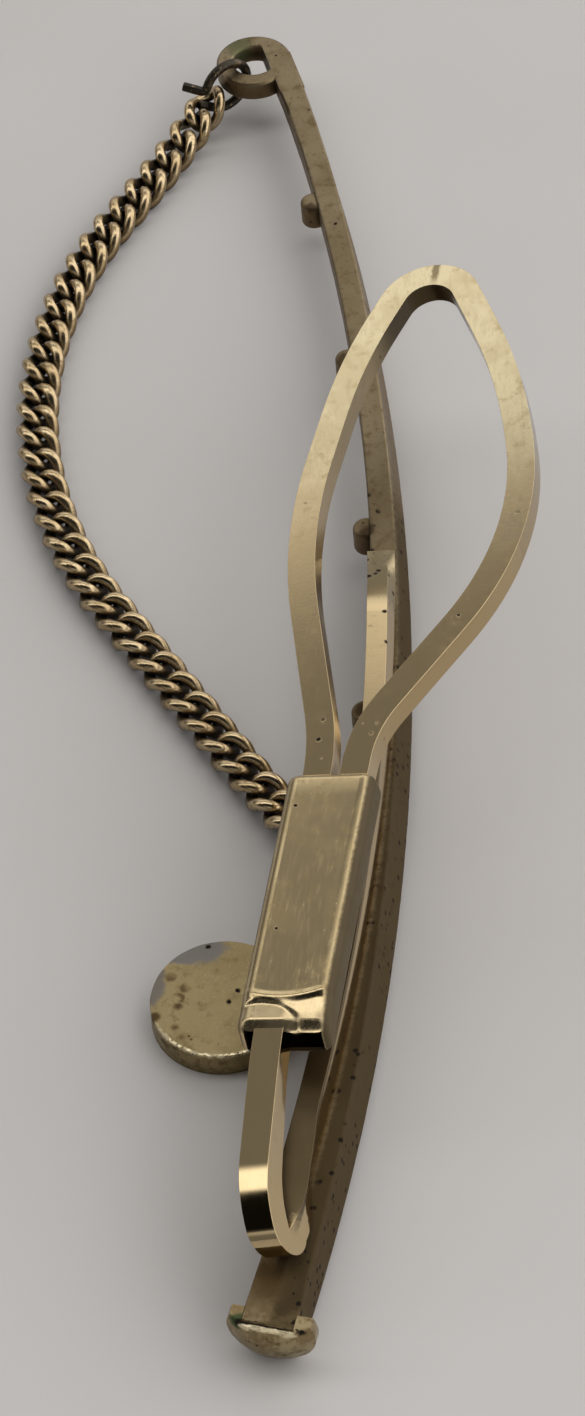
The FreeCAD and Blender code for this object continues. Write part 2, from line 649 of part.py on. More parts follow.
def tip_ring_places():
    """Places of the tip's ring; it turns freely round the corners of the eye's band."""
    half_band = size("tip_eye_band") / 2
    edge = size("tip_eye_edge")
    corner = math.hypot(half_band - edge, size("tip_eye_thickness") / 2 - edge) + edge
    return ring_places(tip_eye_centre(), size("tip_eye_reach") - half_band, 2 * corner, TIP_RING_HEADING)


def end_ring_places():
    return ring_places(chain_eye_centre(), size("chain_eye_radius"), size("chain_eye_stock"),
                       END_RING_HEADING)


def build_ring(name, places, degrees):
    """Jump ring whose plane stands upright along the way to the chain."""
    _, centre, _, slope = places
    level = heading_vector(degrees).cross(Vector(0, 0, 1)).normalize()
    frame = axes(centre, slope, level.cross(slope), level)
    return primitive("Torus", name, frame, Radius1="(<ring_bore> + <ring_wire>) / 2",
                     Radius2="<ring_wire> / 2")


def chain_route():
    """Middle line of the chain in plan, as one wire: a straight, a bow and a straight."""
    start = tip_ring_places()[2]
    end = end_ring_places()[2]
    start = Vector(start.x, start.y, 0)
    end = Vector(end.x, end.y, 0)
    side = Vector(0, 0, -1).cross(end - start).normalize()
    corner = start + (end - start) * CHAIN_CORNER_SHARE + side * size("chain_bulge")
    half_turn = (math.pi - (start - corner).getAngle(end - corner)) / 2
    bow = corner_arc(start, corner, end, size("chain_bow_radius") * math.tan(half_turn))
    return Part.Wire([
        Part.LineSegment(start, bow.firstVertex(True).Point).toShape(),
        bow,
        Part.LineSegment(bow.lastVertex(True).Point, end).toShape(),
    ])


def link_shape(pitch):
    """One twisted link: wire round an oval whose sides tilt opposite ways, as eight tangent arcs."""
    tip = Vector((pitch + size("link_wire") + size("link_play")) / 2, 0, 0)
    side = Vector(0, (size("link_width") - size("link_wire")) / 2, 0)
    tip_heading = Vector(0, side.y, -size("link_twist_height")).normalize()
    side_heading = Vector(-tip.x, 0, size("link_twist_height")).normalize()
    chord = side - tip
    lean = chord.dot(tip_heading + side_heading)
    turn = 1 - tip_heading.dot(side_heading)
    reach = (math.sqrt(lean ** 2 + 2 * turn * chord.dot(chord)) - lean) / (2 * turn)
    quarter = [tip + tip_heading * reach, side - side_heading * reach]
    half = quarter + [Vector(-corner.x, corner.y, -corner.z) for corner in reversed(quarter)]
    corners = half + [Vector(-corner.x, -corner.y, corner.z) for corner in half]
    arcs = []
    for number, corner in enumerate(corners):
        arcs.append(corner_arc(corners[number - 1], corner, corners[(number + 1) % len(corners)], reach))
    pieces = []
    back_heading = Vector(0, -tip_heading.y, tip_heading.z)
    for run, start, heading in ((arcs[:4], tip, tip_heading), (arcs[4:], tip * -1, back_heading)):
        circle = Part.Wire([Part.Circle(start, heading, size("link_wire") / 2).toShape()])
        pieces.append(Part.Wire(run).makePipeShell([circle], True, False))
    rise = -(quarter[0].z + quarter[1].z) / 2
    return pieces[0].fuse(pieces[1]).Solids[0], rise


def build_chain():
    """Jump rings and links, from the tip to the eye beside the reel."""
    tip = tip_ring_places()
    end = end_ring_places()
    pieces = [build_ring("tip_ring", tip, TIP_RING_HEADING)]
    route = chain_route()
    runs = route.Edges
    hook = size("ring_wire") / 2 + size("ring_hook_play")
    pitch = (route.Length + 2 * hook) / LINK_COUNT
    shape, rise = link_shape(pitch)
    table = rise + size("link_wire") / 2 + size("table_gap")

    def at(distance):
        """Point of the chain's middle line, which comes down from the rings to the table."""
        run, left = runs[-1], distance - route.Length + runs[-1].Length
        passed = 0.0
        for candidate in runs[:-1]:
            if distance <= passed + candidate.Length:
                run, left = candidate, distance - passed
                break
            passed += candidate.Length
        plan = run.valueAt(run.getParameterByLength(min(max(left, 0), run.Length)))
        lift = 0.0
        for ring, gone in ((tip, distance), (end, route.Length - distance)):
            share = max(0.0, 1 - gone / size("chain_settle"))
            lift += (ring[2].z - table) * share ** 2
        return plan + Vector(0, 0, table + lift)

    for number in range(LINK_COUNT):
        middle = (number + 0.5) * pitch - hook
        along = (at(middle + pitch / 2) - at(middle - pitch / 2)).normalize()
        level = Vector(0, 0, 1).cross(along).normalize()
        place = axes(at(middle), along, level, along.cross(level))
        pieces.append(shaped(f"chain_link_{number + 1:02d}", shape, place))
    pieces.append(build_ring("end_ring", end, END_RING_HEADING))
    print("chain pitch", round(pitch, 3), "route", round(route.Length, 2))
    return pieces


subparts = [build_rod(), build_reel(), build_butt_cap()]
subparts += [build_spring_leg(), build_clip_wire(), build_sleeve()]
subparts += build_chain()
doc.recompute()

for obj in doc.Objects:
    if "Invalid" in obj.State or "Error" in obj.State:
        raise RuntimeError(f"{obj.Label} failed: {obj.State}")
for obj in subparts:
    if obj.Shape.isNull() or not obj.Shape.isValid() or not obj.Shape.Solids:
        raise RuntimeError(f"{obj.Label} has no valid solid")

os.makedirs("parts", exist_ok=True)
for obj in subparts:
    obj.Shape.exportStep(f"parts/{obj.Label}.step")

clip_axis = clip_frame().Rotation.multVec(Vector(1, 0, 0))
for name, point in (("clip hinge", clip_frame().Base), ("clip axis", clip_axis),
                    ("chain axis start", tip_ring_places()[0]), ("chain axis end", end_ring_places()[0])):
    print(name, [round(value, 4) for value in point])
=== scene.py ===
import math

import bmesh
import bpy
from mathutils import Matrix, Vector


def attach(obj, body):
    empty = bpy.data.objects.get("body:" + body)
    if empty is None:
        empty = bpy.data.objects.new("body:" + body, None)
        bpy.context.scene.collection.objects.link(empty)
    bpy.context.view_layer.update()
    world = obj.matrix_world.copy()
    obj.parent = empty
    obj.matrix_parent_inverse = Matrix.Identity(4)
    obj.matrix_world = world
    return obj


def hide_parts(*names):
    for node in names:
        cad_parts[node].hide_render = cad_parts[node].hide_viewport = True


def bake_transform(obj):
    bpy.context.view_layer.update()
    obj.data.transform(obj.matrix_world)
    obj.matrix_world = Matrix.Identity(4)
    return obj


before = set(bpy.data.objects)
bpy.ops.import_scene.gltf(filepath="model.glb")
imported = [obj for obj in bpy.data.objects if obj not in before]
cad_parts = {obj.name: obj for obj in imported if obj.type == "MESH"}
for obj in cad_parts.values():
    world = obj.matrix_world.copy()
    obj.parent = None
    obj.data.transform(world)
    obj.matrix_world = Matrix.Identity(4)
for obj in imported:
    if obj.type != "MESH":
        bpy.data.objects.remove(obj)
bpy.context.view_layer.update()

MM = 0.001
ACROSS, ALONG, UP = Vector((1, 0, 0)), Vector((0, 1, 0)), Vector((0, 0, 1))

# Sizes of the clip in millimetres, as in the solids; the bend and the loop's tip are shaped more finely.
WIRE_WIDTH, WIRE_THICKNESS, WIRE_EDGE, WIRE_EDGE_SEGMENTS = 1.05, 0.9, 0.15, 3
BACK = 2.2
BEND_TOP = Vector((1.403, -11.9, 3.2586))
BEND_RADIUS, BEND_ARM_RADIUS, BEND_TIGHT_TURN = 0.5, 4.232, 60.0
CLIP_HEADING, CLIP_SLOPE, CLIP_ROLL, SLEEVE_TURN = 5.0, 2.4, 12.0, 6.0
LEG_BOW_CENTRE = Vector((-109.8142, 20.2989, 0))
LEG_BOW_RADIUS, LEG_OVERHANG = 115.6791, 0.12
LEG_END, LEG_BLEND_SHARE = 20.0, 0.08
LEG_TAPER_START, LEG_END_HEIGHT, LEG_TAPER_STRAIGHT = 16.6, 0.03, 0.75
LEG_STEPS, LEG_BLEND_STEPS, BEND_STEPS, ARM_ARC_STEPS, CORNER_STEP = 60, 8, 24, 16, 2.5
TOUCH, SHORTEST_RUN, FEWEST_STEPS = 0.01, 0.001, 4
# The leg's outer side slopes: its top edge is set in, from one place along the leg to another.
LEG_SET_IN, LEG_SET_IN_FROM, LEG_SET_IN_TO = 0.28, -9.0, -6.0
# The bend leans: what is lower than the arm's top is moved to the side by a share of its depth.
BEND_LEAN, ARM_LEAN, ARM_TOP, ARM_TOP_ALONG, ARM_RISE = 0.33, 0.05, 4.73, -10.5, 0.042
BEND_LEAN_FROM, LEG_LEAN_TO, ARM_LEAN_TO, ARM_LEAN_FADE, LEG_TOP = -11.6, -8.6, -5.0, 2.0, 3.3
# Where the painted shade on the wire's sides starts, and the tilts between which a face counts as a side.
FLANK_FROM, FLANK_TILT = (5.0, 8.0), (0.3, 0.75)
SLEEVE_WIDTH, SLEEVE_HEIGHT, SLEEVE_LENGTH = 3.3, 1.5, 11.2
SLEEVE_CORNER, SLEEVE_CORNER_SEGMENTS, SLEEVE_WALL, SLEEVE_OFFSET = 0.5, 8, 0.12, 0.15
SLEEVE_START, SLEEVE_SHIFT = 7.1, 0.7
# Cuts across and along the sleeve, close together at its mouth.
CUT_STEP, MOUTH_CUTS, SIDE_CUTS, SIDE_CUTS_REACH = 0.06, 33, 39, 1.14
FAR_CUTS = (2.5, 3.2, 4.5, 6.5, 8.5, 10.0, 10.8, 10.9, 11.0, 11.07, 11.13, 11.17)
# The crimp in the sleeve's own place: a bowed crease with a ridge, a pressed slope and a scoop before it.
CREASE_ALONG, CREASE_BOW, CREASE_MIDDLE, CREASE_REACH, CREASE_SOFT = 1.46, 0.16, -0.3, 1.1, (-0.22, 0.02)
RIDGE_AHEAD, RIDGE_WIDTH, RIDGE_RISE = 0.06, 0.09, 0.03
PRESS_DEPTH, PRESS_SLOPE, PRESS_SLOPE_ZONE = 0.04, 0.15, (-0.25, 0.45)
SCOOP_MIDDLE, SCOOP_RADII, SCOOP_EDGE, SCOOP_DEPTH = (-0.95, 0.25), (1.5, 1.2), 0.86, 0.09
# The mouth: its top set back, its sides flared. The far end is drawn in.
SET_BACK, SET_BACK_ZONE, SET_BACK_REACH = 0.34, (-0.1, 0.6), 1.2
FLARE_OUTER, FLARE_INNER, FLARE_REACH = 0.12, -0.04, 0.5
DRAW_IN, DRAW_IN_REACH = 0.1, 0.35
TOP_ZONE, FLAT_ZONE, SIDE_ZONE = (0.25, 0.7), (0.2, 0.7), (0.9, 1.6)
LIP_FACING, LIP_HEIGHT = 0.6, 0.3
INNER_LEG_OFFSET, OUTER_LEG_OFFSET, LEG_TAIL = 0.62, 0.55, 4.0
LOOP_LENGTH, LOOP_WIDTH = 26.3, 9.18
# Corners of the loop: across and along as shares of its width and length, and the share its rounding takes.
LOOP_CORNERS = [
    (-0.085, 0.053, 0.14), (-0.391, 0.421, 0.43), (-0.305, 0.748, 0.36), (-0.05, 1.0, 0.5),
    (0.412, 0.7, 0.4), (0.609, 0.401, 0.56), (0.069, 0.076, 0.15),
]
MOUTH_ROUNDING_SHARE = 0.3
# End of the grip's tongue in the butt cap.
TONGUE_PLACE, TONGUE_TURN = (2.34, -14.73, BACK), 164.75
# Across and along of the dark spots on the line guides.
KNOBS = [(3.95, 39.5), (5.1, 30.65), (5.75, 21.2), (5.3, 12.15)]
TIP_EYE = Vector((1.6903, 48.9425, 1.73))
RING_CENTRE, RING_RADIUS, RING_WIRE = Vector((0.4754, 48.0598, 1.6079)), 1.075, 0.4
RING_HEADING, RING_DROOP = 126.0, 25.0
# Turns in degrees where the ring's round part starts and ends, and its corners between them.
RING_START, RING_STOP, RING_CORNERS, RING_HALF_STEP = 50, 330, (85, 155, 225, 295), 35
RING_FIRST_END, RING_LAST_END = Vector((-0.95, 0.2, 0.25)), Vector((-0.6, -0.1, 0.25))
RING_FIRST_RUN, RING_LAST_RUN, RING_END_ROUNDING = 0.25, 0.2, 0.9
RING_SIDES, RING_STEP, RING_EDGE, RING_EDGE_SEGMENTS = 14, 12.0, 0.06, 2
REEL_RADIUS, REEL_THICKNESS, REEL_SIDES = 2.6, 1.0, 160
REEL_GROOVE_OUTER, REEL_GROOVE_INNER, REEL_GROOVE_DEPTH = 2.05, 1.75, 0.2
# The reel's back: rings of faces at its rim, a sunk and uneven rim, and a burr along one side.
REEL_RIM_RINGS = (0.05, 0.06, 0.1, 0.25)
RIM_SUNK, RIM_UNEVEN, RIM_ZONE = 0.035, 0.008, (-0.2, -0.06)
BURR_ZONE, BURR_MIDDLE, BURR_UNEVEN = (0.9, 1.9), 0.55, 0.45
CREST_IN, CREST_WIDTH, CREST_RISE, CREST_LIMIT = 0.06, 0.05, 0.03, 0.02
OUTER_WIDTH, OUTER_DROP, OUTER_SHRINK, OUTER_UNEVEN = 0.03, 0.06, 0.012, 0.004
# Waves of an uneven rim: height, waves round the rim and where they start.
RIM_WAVES = ((0.5, 17, 1.3), (0.3, 41, 0.4), (0.2, 73, 2.1))
BEVEL_ANGLE, SMOOTH_ANGLE, REEL_SMOOTH_ANGLE, FACING = 50.0, 40.0, 30.0, 0.9
# Camera, fitted to the photograph, in millimetres and degrees; its clip and the floor's size are in metres.
CAMERA_LENS, CAMERA_SENSOR, CAMERA_CLIP = 109.633, 36.0, (0.005, 20.0)
CAMERA_PLACE, CAMERA_TURN = (9.323, -92.124, 122.590), (40.8482, 3.8882, -0.8959)
FLOOR_SIZE, FLOOR_DROP, FLOOR_ROUGHNESS = 3.0, 0.02, 0.6
FLOOR_COLOURS = ((0.52, 0.50, 0.485), (0.57, 0.552, 0.54))
# Sky: levels, and the zones over which one level turns into the next.
SKY_COLOUR = (1.0, 0.985, 0.97, 1.0)
LAMP_LEVEL, WINDOW_LEVEL, WALL_LEVEL, GAP_LEVEL = 2.0, 1.8, 1.25, 0.24
FRONT_LEVEL, LOW_FRONT_LEVEL, WALL_END_LEVEL = 0.03, 0.45, 0.35
LAMP_BACK, LAMP_FRONT, LOW_FRONT, WINDOW_ZONE = (-0.5, -0.37), (-0.1, 0.04), (0.72, 0.84), (0.3, 0.55)
GAP_ZONE, GAP_TILT, WALL_FOOT, WALL_SIDE = (0.74, 0.775), 0.23, (0.25, 0.5), (-0.8, -0.42)
NEARLY_NONE = 0.000001
# Middle of a noise's values, and the little sheen of what is not bare metal.
NOISE_MIDDLE, DULL_SHEEN = 0.5, 0.15


# Shader maths.

class Value:
    """A number that changes over a surface; sums on it add Math nodes."""

    def __init__(self, finish, socket):
        self.finish = finish
        self.socket = socket

    def maths(self, operation, first, second):
        return self.finish.node("ShaderNodeMath", {"operation": operation}, {0: first, 1: second})

    def __add__(self, other):
        return self.maths("ADD", self, other)

    def __radd__(self, other):
        return self.maths("ADD", other, self)

    def __sub__(self, other):
        return self.maths("SUBTRACT", self, other)

    def __rsub__(self, other):
        return self.maths("SUBTRACT", other, self)

    def __mul__(self, other):
        return self.maths("MULTIPLY", self, other)

    def __rmul__(self, other):
        return self.maths("MULTIPLY", other, self)

    def __truediv__(self, other):
        return self.maths("DIVIDE", self, other)

    def __pow__(self, other):
        return self.maths("POWER", self, other)


class Finish:
    """Nodes of one material or of the world."""

    def __init__(self, owner):
        owner.use_nodes = True
        self.owner = owner
        self.tree = owner.node_tree
        self.tree.nodes.clear()

    def node(self, kind, settings, sockets, output=0):
        """Any node: its settings first, then the values or links of its sockets."""
        made = self.tree.nodes.new(kind)
        for name, setting in settings.items():
            setattr(made, name, setting)
        for name, value in sockets.items():
            if isinstance(value, Value):
                self.tree.links.new(value.socket, made.inputs[name])
            else:
                made.inputs[name].default_value = value
        if not made.outputs:
            return made
        return Value(self, made.outputs[output])

    def place(self, stretch=(1, 1, 1), turn=0.0):
        """Object coordinates in millimetres, turned about Z in degrees and stretched."""
        coordinates = self.node("ShaderNodeTexCoord", {}, {}, "Object")
        turned = self.node("ShaderNodeVectorRotate", {"rotation_type": "Z_AXIS"},
                           {"Vector": coordinates, "Angle": math.radians(turn)})
        return self.node("ShaderNodeMapping", {"vector_type": "POINT"},
                         {"Vector": turned, "Scale": [value / MM for value in stretch]})

    def noise(self, place, scale, detail=4.0, roughness=0.55):
        return self.node("ShaderNodeTexNoise", {}, {
            "Vector": place, "Scale": scale, "Detail": detail, "Roughness": roughness})

    def spots(self, place, scale):
        """Distance to the middle of the nearest of many scattered spots."""
        return self.node("ShaderNodeTexVoronoi", {}, {"Vector": place, "Scale": scale})

    def between(self, value, low, high, bottom=0.0, top=1.0):
        """A smooth step from bottom to top as the value goes from low to high."""
        return self.node("ShaderNodeMapRange", {"interpolation_type": "SMOOTHSTEP"},
                         {"Value": value, "From Min": low, "From Max": high, "To Min": bottom, "To Max": top})

    def colours(self, share, first, second):
        """From the first colour to the second by a share."""
        sockets = {0: share, 6: first if isinstance(first, Value) else (*first, 1.0),
                   7: second if isinstance(second, Value) else (*second, 1.0)}
        return self.node("ShaderNodeMix", {"data_type": "RGBA"}, sockets, 2)

    def parts(self, vector):
        """The three numbers of a vector."""
        return [self.node("ShaderNodeSeparateXYZ", {}, {"Vector": vector}, axis) for axis in range(3)]


class Metal(Finish):
    """A metal finish, built up in layers over its clean colour; lengths in millimetres."""

    def __init__(self, name, colour, roughness):
        super().__init__(bpy.data.materials.new(name))
        self.colour = colour
        self.roughness = roughness
        self.metal = 1.0
        self.height = 0.0
        self.here = self.place()
        self.fine = self.noise(self.here, 8.0, 5.0, 0.62)

    def layer(self, share, colour, rougher=0.0, duller=0.0, sunk=0.0):
        """Covers a share of the surface with a colour, and makes it rougher, less metallic or lower there."""
        self.colour = self.colours(share, self.colour, colour)
        self.roughness = self.roughness + share * rougher
        self.metal = self.metal - share * duller
        self.height = self.height - share * sunk

    def uneven(self, value, amount):
        """A value made uneven by fine noise."""
        return value + amount * (self.fine - NOISE_MIDDLE)

    def clouds(self, scale, low, high, detail=4.0, stretch=(1, 1, 1), turn=0.0):
        """Soft-edged patches."""
        return self.between(self.noise(self.place(stretch, turn), scale, detail, 0.6), low, high)

    def pits(self, scale, size, amount):
        """Small round pits; size is a share of their spacing, amount the share of places that have them."""
        edge = self.uneven(self.spots(self.here, scale), 0.16)
        places = self.noise(self.here, 0.45 * scale, 2.0)
        where = self.between(places, 0.7 - 0.4 * amount, 0.76 - 0.4 * amount)
        return self.between(edge, 0.5 * size, size, 1.0, 0.0) * where

    def near(self, centre, reach, soft=0.6, ragged=0.0):
        """One round a point, none past a reach on each axis, with a soft or ragged edge."""
        offset = self.node("ShaderNodeVectorMath", {"operation": "SUBTRACT"}, {0: self.here, 1: centre})
        scaled = self.node("ShaderNodeVectorMath", {"operation": "DIVIDE"}, {0: offset, 1: reach})
        far = self.node("ShaderNodeVectorMath", {"operation": "LENGTH"}, {0: scaled}, "Value")
        if ragged:
            far = far + ragged * (self.noise(self.here, 2.4, 4.0, 0.6) - NOISE_MIDDLE)
        return self.between(far, 1 - soft, 1.0, 1.0, 0.0)

    def local(self, place):
        """The three coordinates in a place of its own, in millimetres."""
        coordinates = self.node("ShaderNodeTexCoord", {}, {}, "Object")
        return self.parts(self.node("ShaderNodeMapping", {"vector_type": "TEXTURE"}, {
            "Vector": coordinates, "Location": place.translation * MM, "Rotation": place.to_euler(),
            "Scale": (MM, MM, MM)}))

    def band(self, value, low, high, soft):
        """One between two values, with soft ends outside them."""
        return self.between(value, low - soft, low) * self.between(value, high, high + soft, 1.0, 0.0)

    def hollow_shade(self, reach, low, high):
        """Corners and gaps that neighbouring surfaces close in, found by occlusion; colour laid there paints
        their shade, together with dirt.
        """
        open_share = self.node("ShaderNodeAmbientOcclusion", {"samples": 8}, {"Distance": reach * MM}, "AO")
        return self.between(self.uneven(open_share, 0.25), low, high, 1.0, 0.0)

    def close(self, relief_depth):
        """Ends the finish: one shader, with fine relief from the height."""
        relief = self.node("ShaderNodeBump", {}, {
            "Strength": 1.0, "Distance": relief_depth * MM, "Height": self.height})
        shader = self.node("ShaderNodeBsdfPrincipled", {}, {
            "Base Color": self.colour, "Roughness": self.roughness, "Metallic": self.metal, "Normal": relief,
            "Specular IOR Level": DULL_SHEEN})
        self.node("ShaderNodeOutputMaterial", {}, {"Surface": shader})
        return self.owner


# The dark dirt colour, which in hollows also stands for their painted shade.
PIT, DIRT_AND_SHADE, VERDIGRIS = (0.012, 0.008, 0.005), (0.05, 0.032, 0.015), (0.06, 0.085, 0.03)
PITTED = {"rougher": 0.4, "duller": 0.6, "sunk": 1.0}
CAST_PITTED = {"rougher": 0.4, "duller": 0.7, "sunk": 1.0}


def wire_finish():
    """Polished gilt wire, dulled in clouds, with a few pits and a worn grey patch on the loop; painted shade
    on its sides, on the leg under the arm, towards the sleeve and in its hollows.
    """
    metal = Metal("wire_gilt", (0.62, 0.53, 0.335), 0.08)
    metal.layer(metal.clouds(0.4, 0.45, 0.62, 3.0), (0.55, 0.46, 0.28), rougher=0.01)
    metal.layer(metal.clouds(1.9, 0.52, 0.72), (0.48, 0.39, 0.225), rougher=0.03)
    metal.layer(metal.clouds(11.0, 0.5, 0.75, 3.0, (1, 0.25, 1)), (0.55, 0.46, 0.28), rougher=0.02)
    # Painted shade: the wire's sides, past the arm, darker brown than its top.
    shaded_flank = metal.node("ShaderNodeAttribute", {"attribute_name": "shaded_flank"}, {}, "Fac")
    metal.layer(shaded_flank * 0.8, (0.26, 0.19, 0.095), rougher=0.08)
    metal.layer(metal.clouds(3.0, 0.5, 0.66, 5.0, (1, 0.18, 1)) * 0.3, (0.42, 0.335, 0.185))
    side, along, _ = metal.local(SLEEVE)
    # Painted shade: the loop's sides near its tip made nearly black.
    tip = metal.between(metal.uneven(along, 0.6), 30.5, 33.0) * metal.band(side, -2.4, 1.2, 0.8)
    metal.layer(shaded_flank * tip * 0.9, (0.045, 0.03, 0.014), rougher=0.1, duller=0.1)
    # Painted shade: the wire browner below the loop's middle, towards the sleeve, the arm and the leg.
    metal.layer(metal.between(metal.uneven(along, 2.0), 20.0, 29.0, 1.0, 0.0) * 0.8, (0.57, 0.43, 0.235))
    nick = metal.band(metal.uneven(side, 0.2), -0.2, -0.05, 0.12) * metal.between(along, 34.7, 35.2)
    metal.layer(nick * 0.8, (0.2, 0.15, 0.075), rougher=0.15)
    worn = metal.band(metal.uneven(side, 0.5), 4.5, 5.2, 0.35) * metal.band(along, 21.8, 23.2, 1.0)
    metal.layer(worn * metal.clouds(3.0, 0.4, 0.65) * 0.6, (0.36, 0.29, 0.19), rougher=0.08)
    metal.layer(metal.near((4.6, 7.6, 5.6), (2.0, 1.6, 1.2), 0.4) * metal.pits(1.9, 0.26, 0.75), PIT,
                **PITTED)
    metal.layer(metal.pits(0.9, 0.1, 0.5), PIT, **PITTED)
    _, along, height = metal.parts(metal.here)
    leg = metal.between(height, 3.2, 3.45, 1.0, 0.0)
    # Painted shade: the leg's top made dark brown under the arm and the sleeve.
    shaded = metal.band(metal.uneven(along, 1.2), -10.6, 9.6, 1.2)
    metal.layer(leg * shaded * metal.between(height, 2.9, 3.05), (0.13, 0.095, 0.05), rougher=0.2, duller=0.1)
    metal.layer(leg * metal.between(along, 16.3, 17.2) * 0.8, (0.3, 0.245, 0.145), rougher=0.2)
    metal.layer(leg * metal.band(along, 16.0, 20.0, 1.0) * metal.pits(2.2, 0.3, 0.75), PIT, **PITTED)
    # Painted shade with dirt in the wire's hollows.
    metal.layer(metal.hollow_shade(0.5, 0.25, 0.7), DIRT_AND_SHADE, rougher=0.15, duller=0.2)
    metal.height = metal.height + 0.2 * metal.fine
    return metal.close(0.002)


def sleeve_finish():
    """Smooth rolled gilt sheet with lengthwise rubbing and a few pits; painted shade on its sides and in its
    hollows, and a painted highlight at its mouth.
    """
    metal = Metal("sleeve_gilt", (0.52, 0.41, 0.232), 0.17)
    metal.layer(metal.clouds(0.5, 0.45, 0.62, 3.0), (0.45, 0.35, 0.19), rougher=0.05)
    metal.layer(metal.clouds(2.2, 0.52, 0.72), (0.38, 0.29, 0.15), rougher=0.08)
    metal.layer(metal.clouds(9.0, 0.48, 0.72, 4.0, (1, 0.1, 1), 11.0), (0.46, 0.36, 0.2), rougher=0.07)
    side, along, _ = metal.local(SLEEVE)
    # Paler and rougher at the mouth: the paler colour is a painted highlight on the crimp.
    metal.layer(metal.band(along, -1.0, 1.3, 0.2), (0.62, 0.49, 0.285), rougher=0.09)
    metal.layer(metal.pits(0.95, 0.09, 0.7), PIT, **PITTED)
    # Painted shade: the sleeve's right side dark brown, and a darker strip along its left side.
    side = metal.uneven(side + SLEEVE_OFFSET, 0.1)
    metal.layer(metal.between(side, 1.33, 1.5) * 0.95, (0.06, 0.043, 0.02), rougher=0.3, duller=0.8)
    metal.layer(metal.between(side, -1.58, -1.42, 1.0, 0.0) * 0.85, (0.1, 0.075, 0.037), rougher=0.3,
                duller=0.7)
    # Painted shade with dirt in the sleeve's hollows.
    metal.layer(metal.hollow_shade(0.4, 0.2, 0.6), DIRT_AND_SHADE, rougher=0.15, duller=0.2)
    metal.height = metal.height + 0.12 * metal.fine
    return metal.close(0.006)


def inside_shade_finish():
    """Inner wall of the sleeve, painted nearly black as shade."""
    metal = Metal("sleeve_hollow", (0.05, 0.036, 0.02), 0.6)
    metal.layer(metal.clouds(2.0, 0.45, 0.7), (0.015, 0.011, 0.007), rougher=0.1, duller=0.3)
    return metal.close(0.006)


def rod_finish():
    """Dull cast brass: painted shade on its flank and lower sides and at the tip eye, pits where the wire was
    soldered, dirt and painted shade in corners, a painted shadow under the bend, green at the tip.
    """
    metal = Metal("rod_brass", (0.215, 0.168, 0.1), 0.38)
    side, along, height = metal.parts(metal.here)
    metal.layer(metal.clouds(0.3, 0.4, 0.64, 3.0), (0.178, 0.135, 0.076), rougher=0.05)
    metal.layer(metal.clouds(1.8, 0.5, 0.7, 6.0), (0.14, 0.1, 0.05), rougher=0.08, duller=0.05)
    metal.layer(metal.clouds(5.0, 0.56, 0.74, 4.0), (0.115, 0.08, 0.038), rougher=0.1, duller=0.1)
    # Painted shade: the rod darker below its back, down its sides.
    metal.layer(metal.between(metal.uneven(height, 0.5), 1.75, 2.15, 1.0, 0.0) * 0.75, (0.15, 0.1, 0.05),
                rougher=0.06, duller=0.1)
    # Painted shade: the rod's right flank, outside the leg's bow, made nearly black brown.
    out = ((side - LEG_BOW_CENTRE.x) ** 2 + (along - LEG_BOW_CENTRE.y) ** 2) ** 0.5 - LEG_BOW_RADIUS
    shaded_flank = metal.between(metal.uneven(out, 0.3), 0.85, 1.1) * metal.band(along, -15.0, 21.0, 4.0)
    metal.layer(shaded_flank * 0.93, (0.052, 0.034, 0.0125), rougher=0.3, duller=0.7)
    for knob in KNOBS:
        metal.layer(metal.near((*knob, BACK), (0.4, 0.5, 0.5), 0.5, 0.8) * 0.85, DIRT_AND_SHADE, rougher=0.2,
                    duller=0.3)
    _, past, _ = metal.local(TONGUE_END)
    metal.layer(metal.band(metal.uneven(past, 0.16), -0.05, 0.1, 0.06), DIRT_AND_SHADE, rougher=0.2, duller=0.3,
                sunk=0.6)
    metal.layer(metal.between(past, -1.6, -0.4) * metal.clouds(1.5, 0.4, 0.6) * 0.7, (0.13, 0.09, 0.04),
                rougher=0.06, duller=0.1)
    metal.layer(shaded_flank * metal.pits(2.3, 0.3, 0.7), PIT, **CAST_PITTED)
    # Painted shadow of the hairpin bend on the grip.
    metal.layer(metal.near((1.6, -12.7, 2.2), (1.1, 1.5, 0.8), 0.8, 0.5), (0.09, 0.058, 0.025), rougher=0.08,
                duller=0.1)
    metal.layer(metal.clouds(1.1, 0.58, 0.66, 5.0) * metal.near((6.4, 4.0, 2.2), (1.6, 13.0, 1.5), 0.6), DIRT_AND_SHADE,
                rougher=0.15, duller=0.2)
    solder = metal.near((5.4, 21.4, 2.2), (1.5, 3.0, 1.0), 0.5)
    metal.layer(solder * metal.pits(2.2, 0.36, 0.8), PIT, **CAST_PITTED)
    metal.layer(metal.pits(1.3, 0.13, 0.45), PIT, **CAST_PITTED)
    # Painted shade in and round the tip eye's hole.
    metal.layer(metal.near(TIP_EYE, (1.15, 1.15, 0.6), 0.3, 0.3), (0.06, 0.038, 0.018), rougher=0.15,
                duller=0.2)
    metal.layer(metal.near((1.0, 50.0, 1.9), (0.9, 0.9, 0.9), 0.6, 1.0) * 0.6, VERDIGRIS, rougher=0.2,
                duller=0.5)
    # Painted shade with dirt in the rod's hollows.
    metal.layer(metal.hollow_shade(0.7, 0.2, 0.75), DIRT_AND_SHADE, rougher=0.2, duller=0.3)
    metal.height = metal.height + 0.5 * metal.fine + 0.35 * metal.noise(metal.here, 2.0, 3.0)
    return metal.close(0.014)


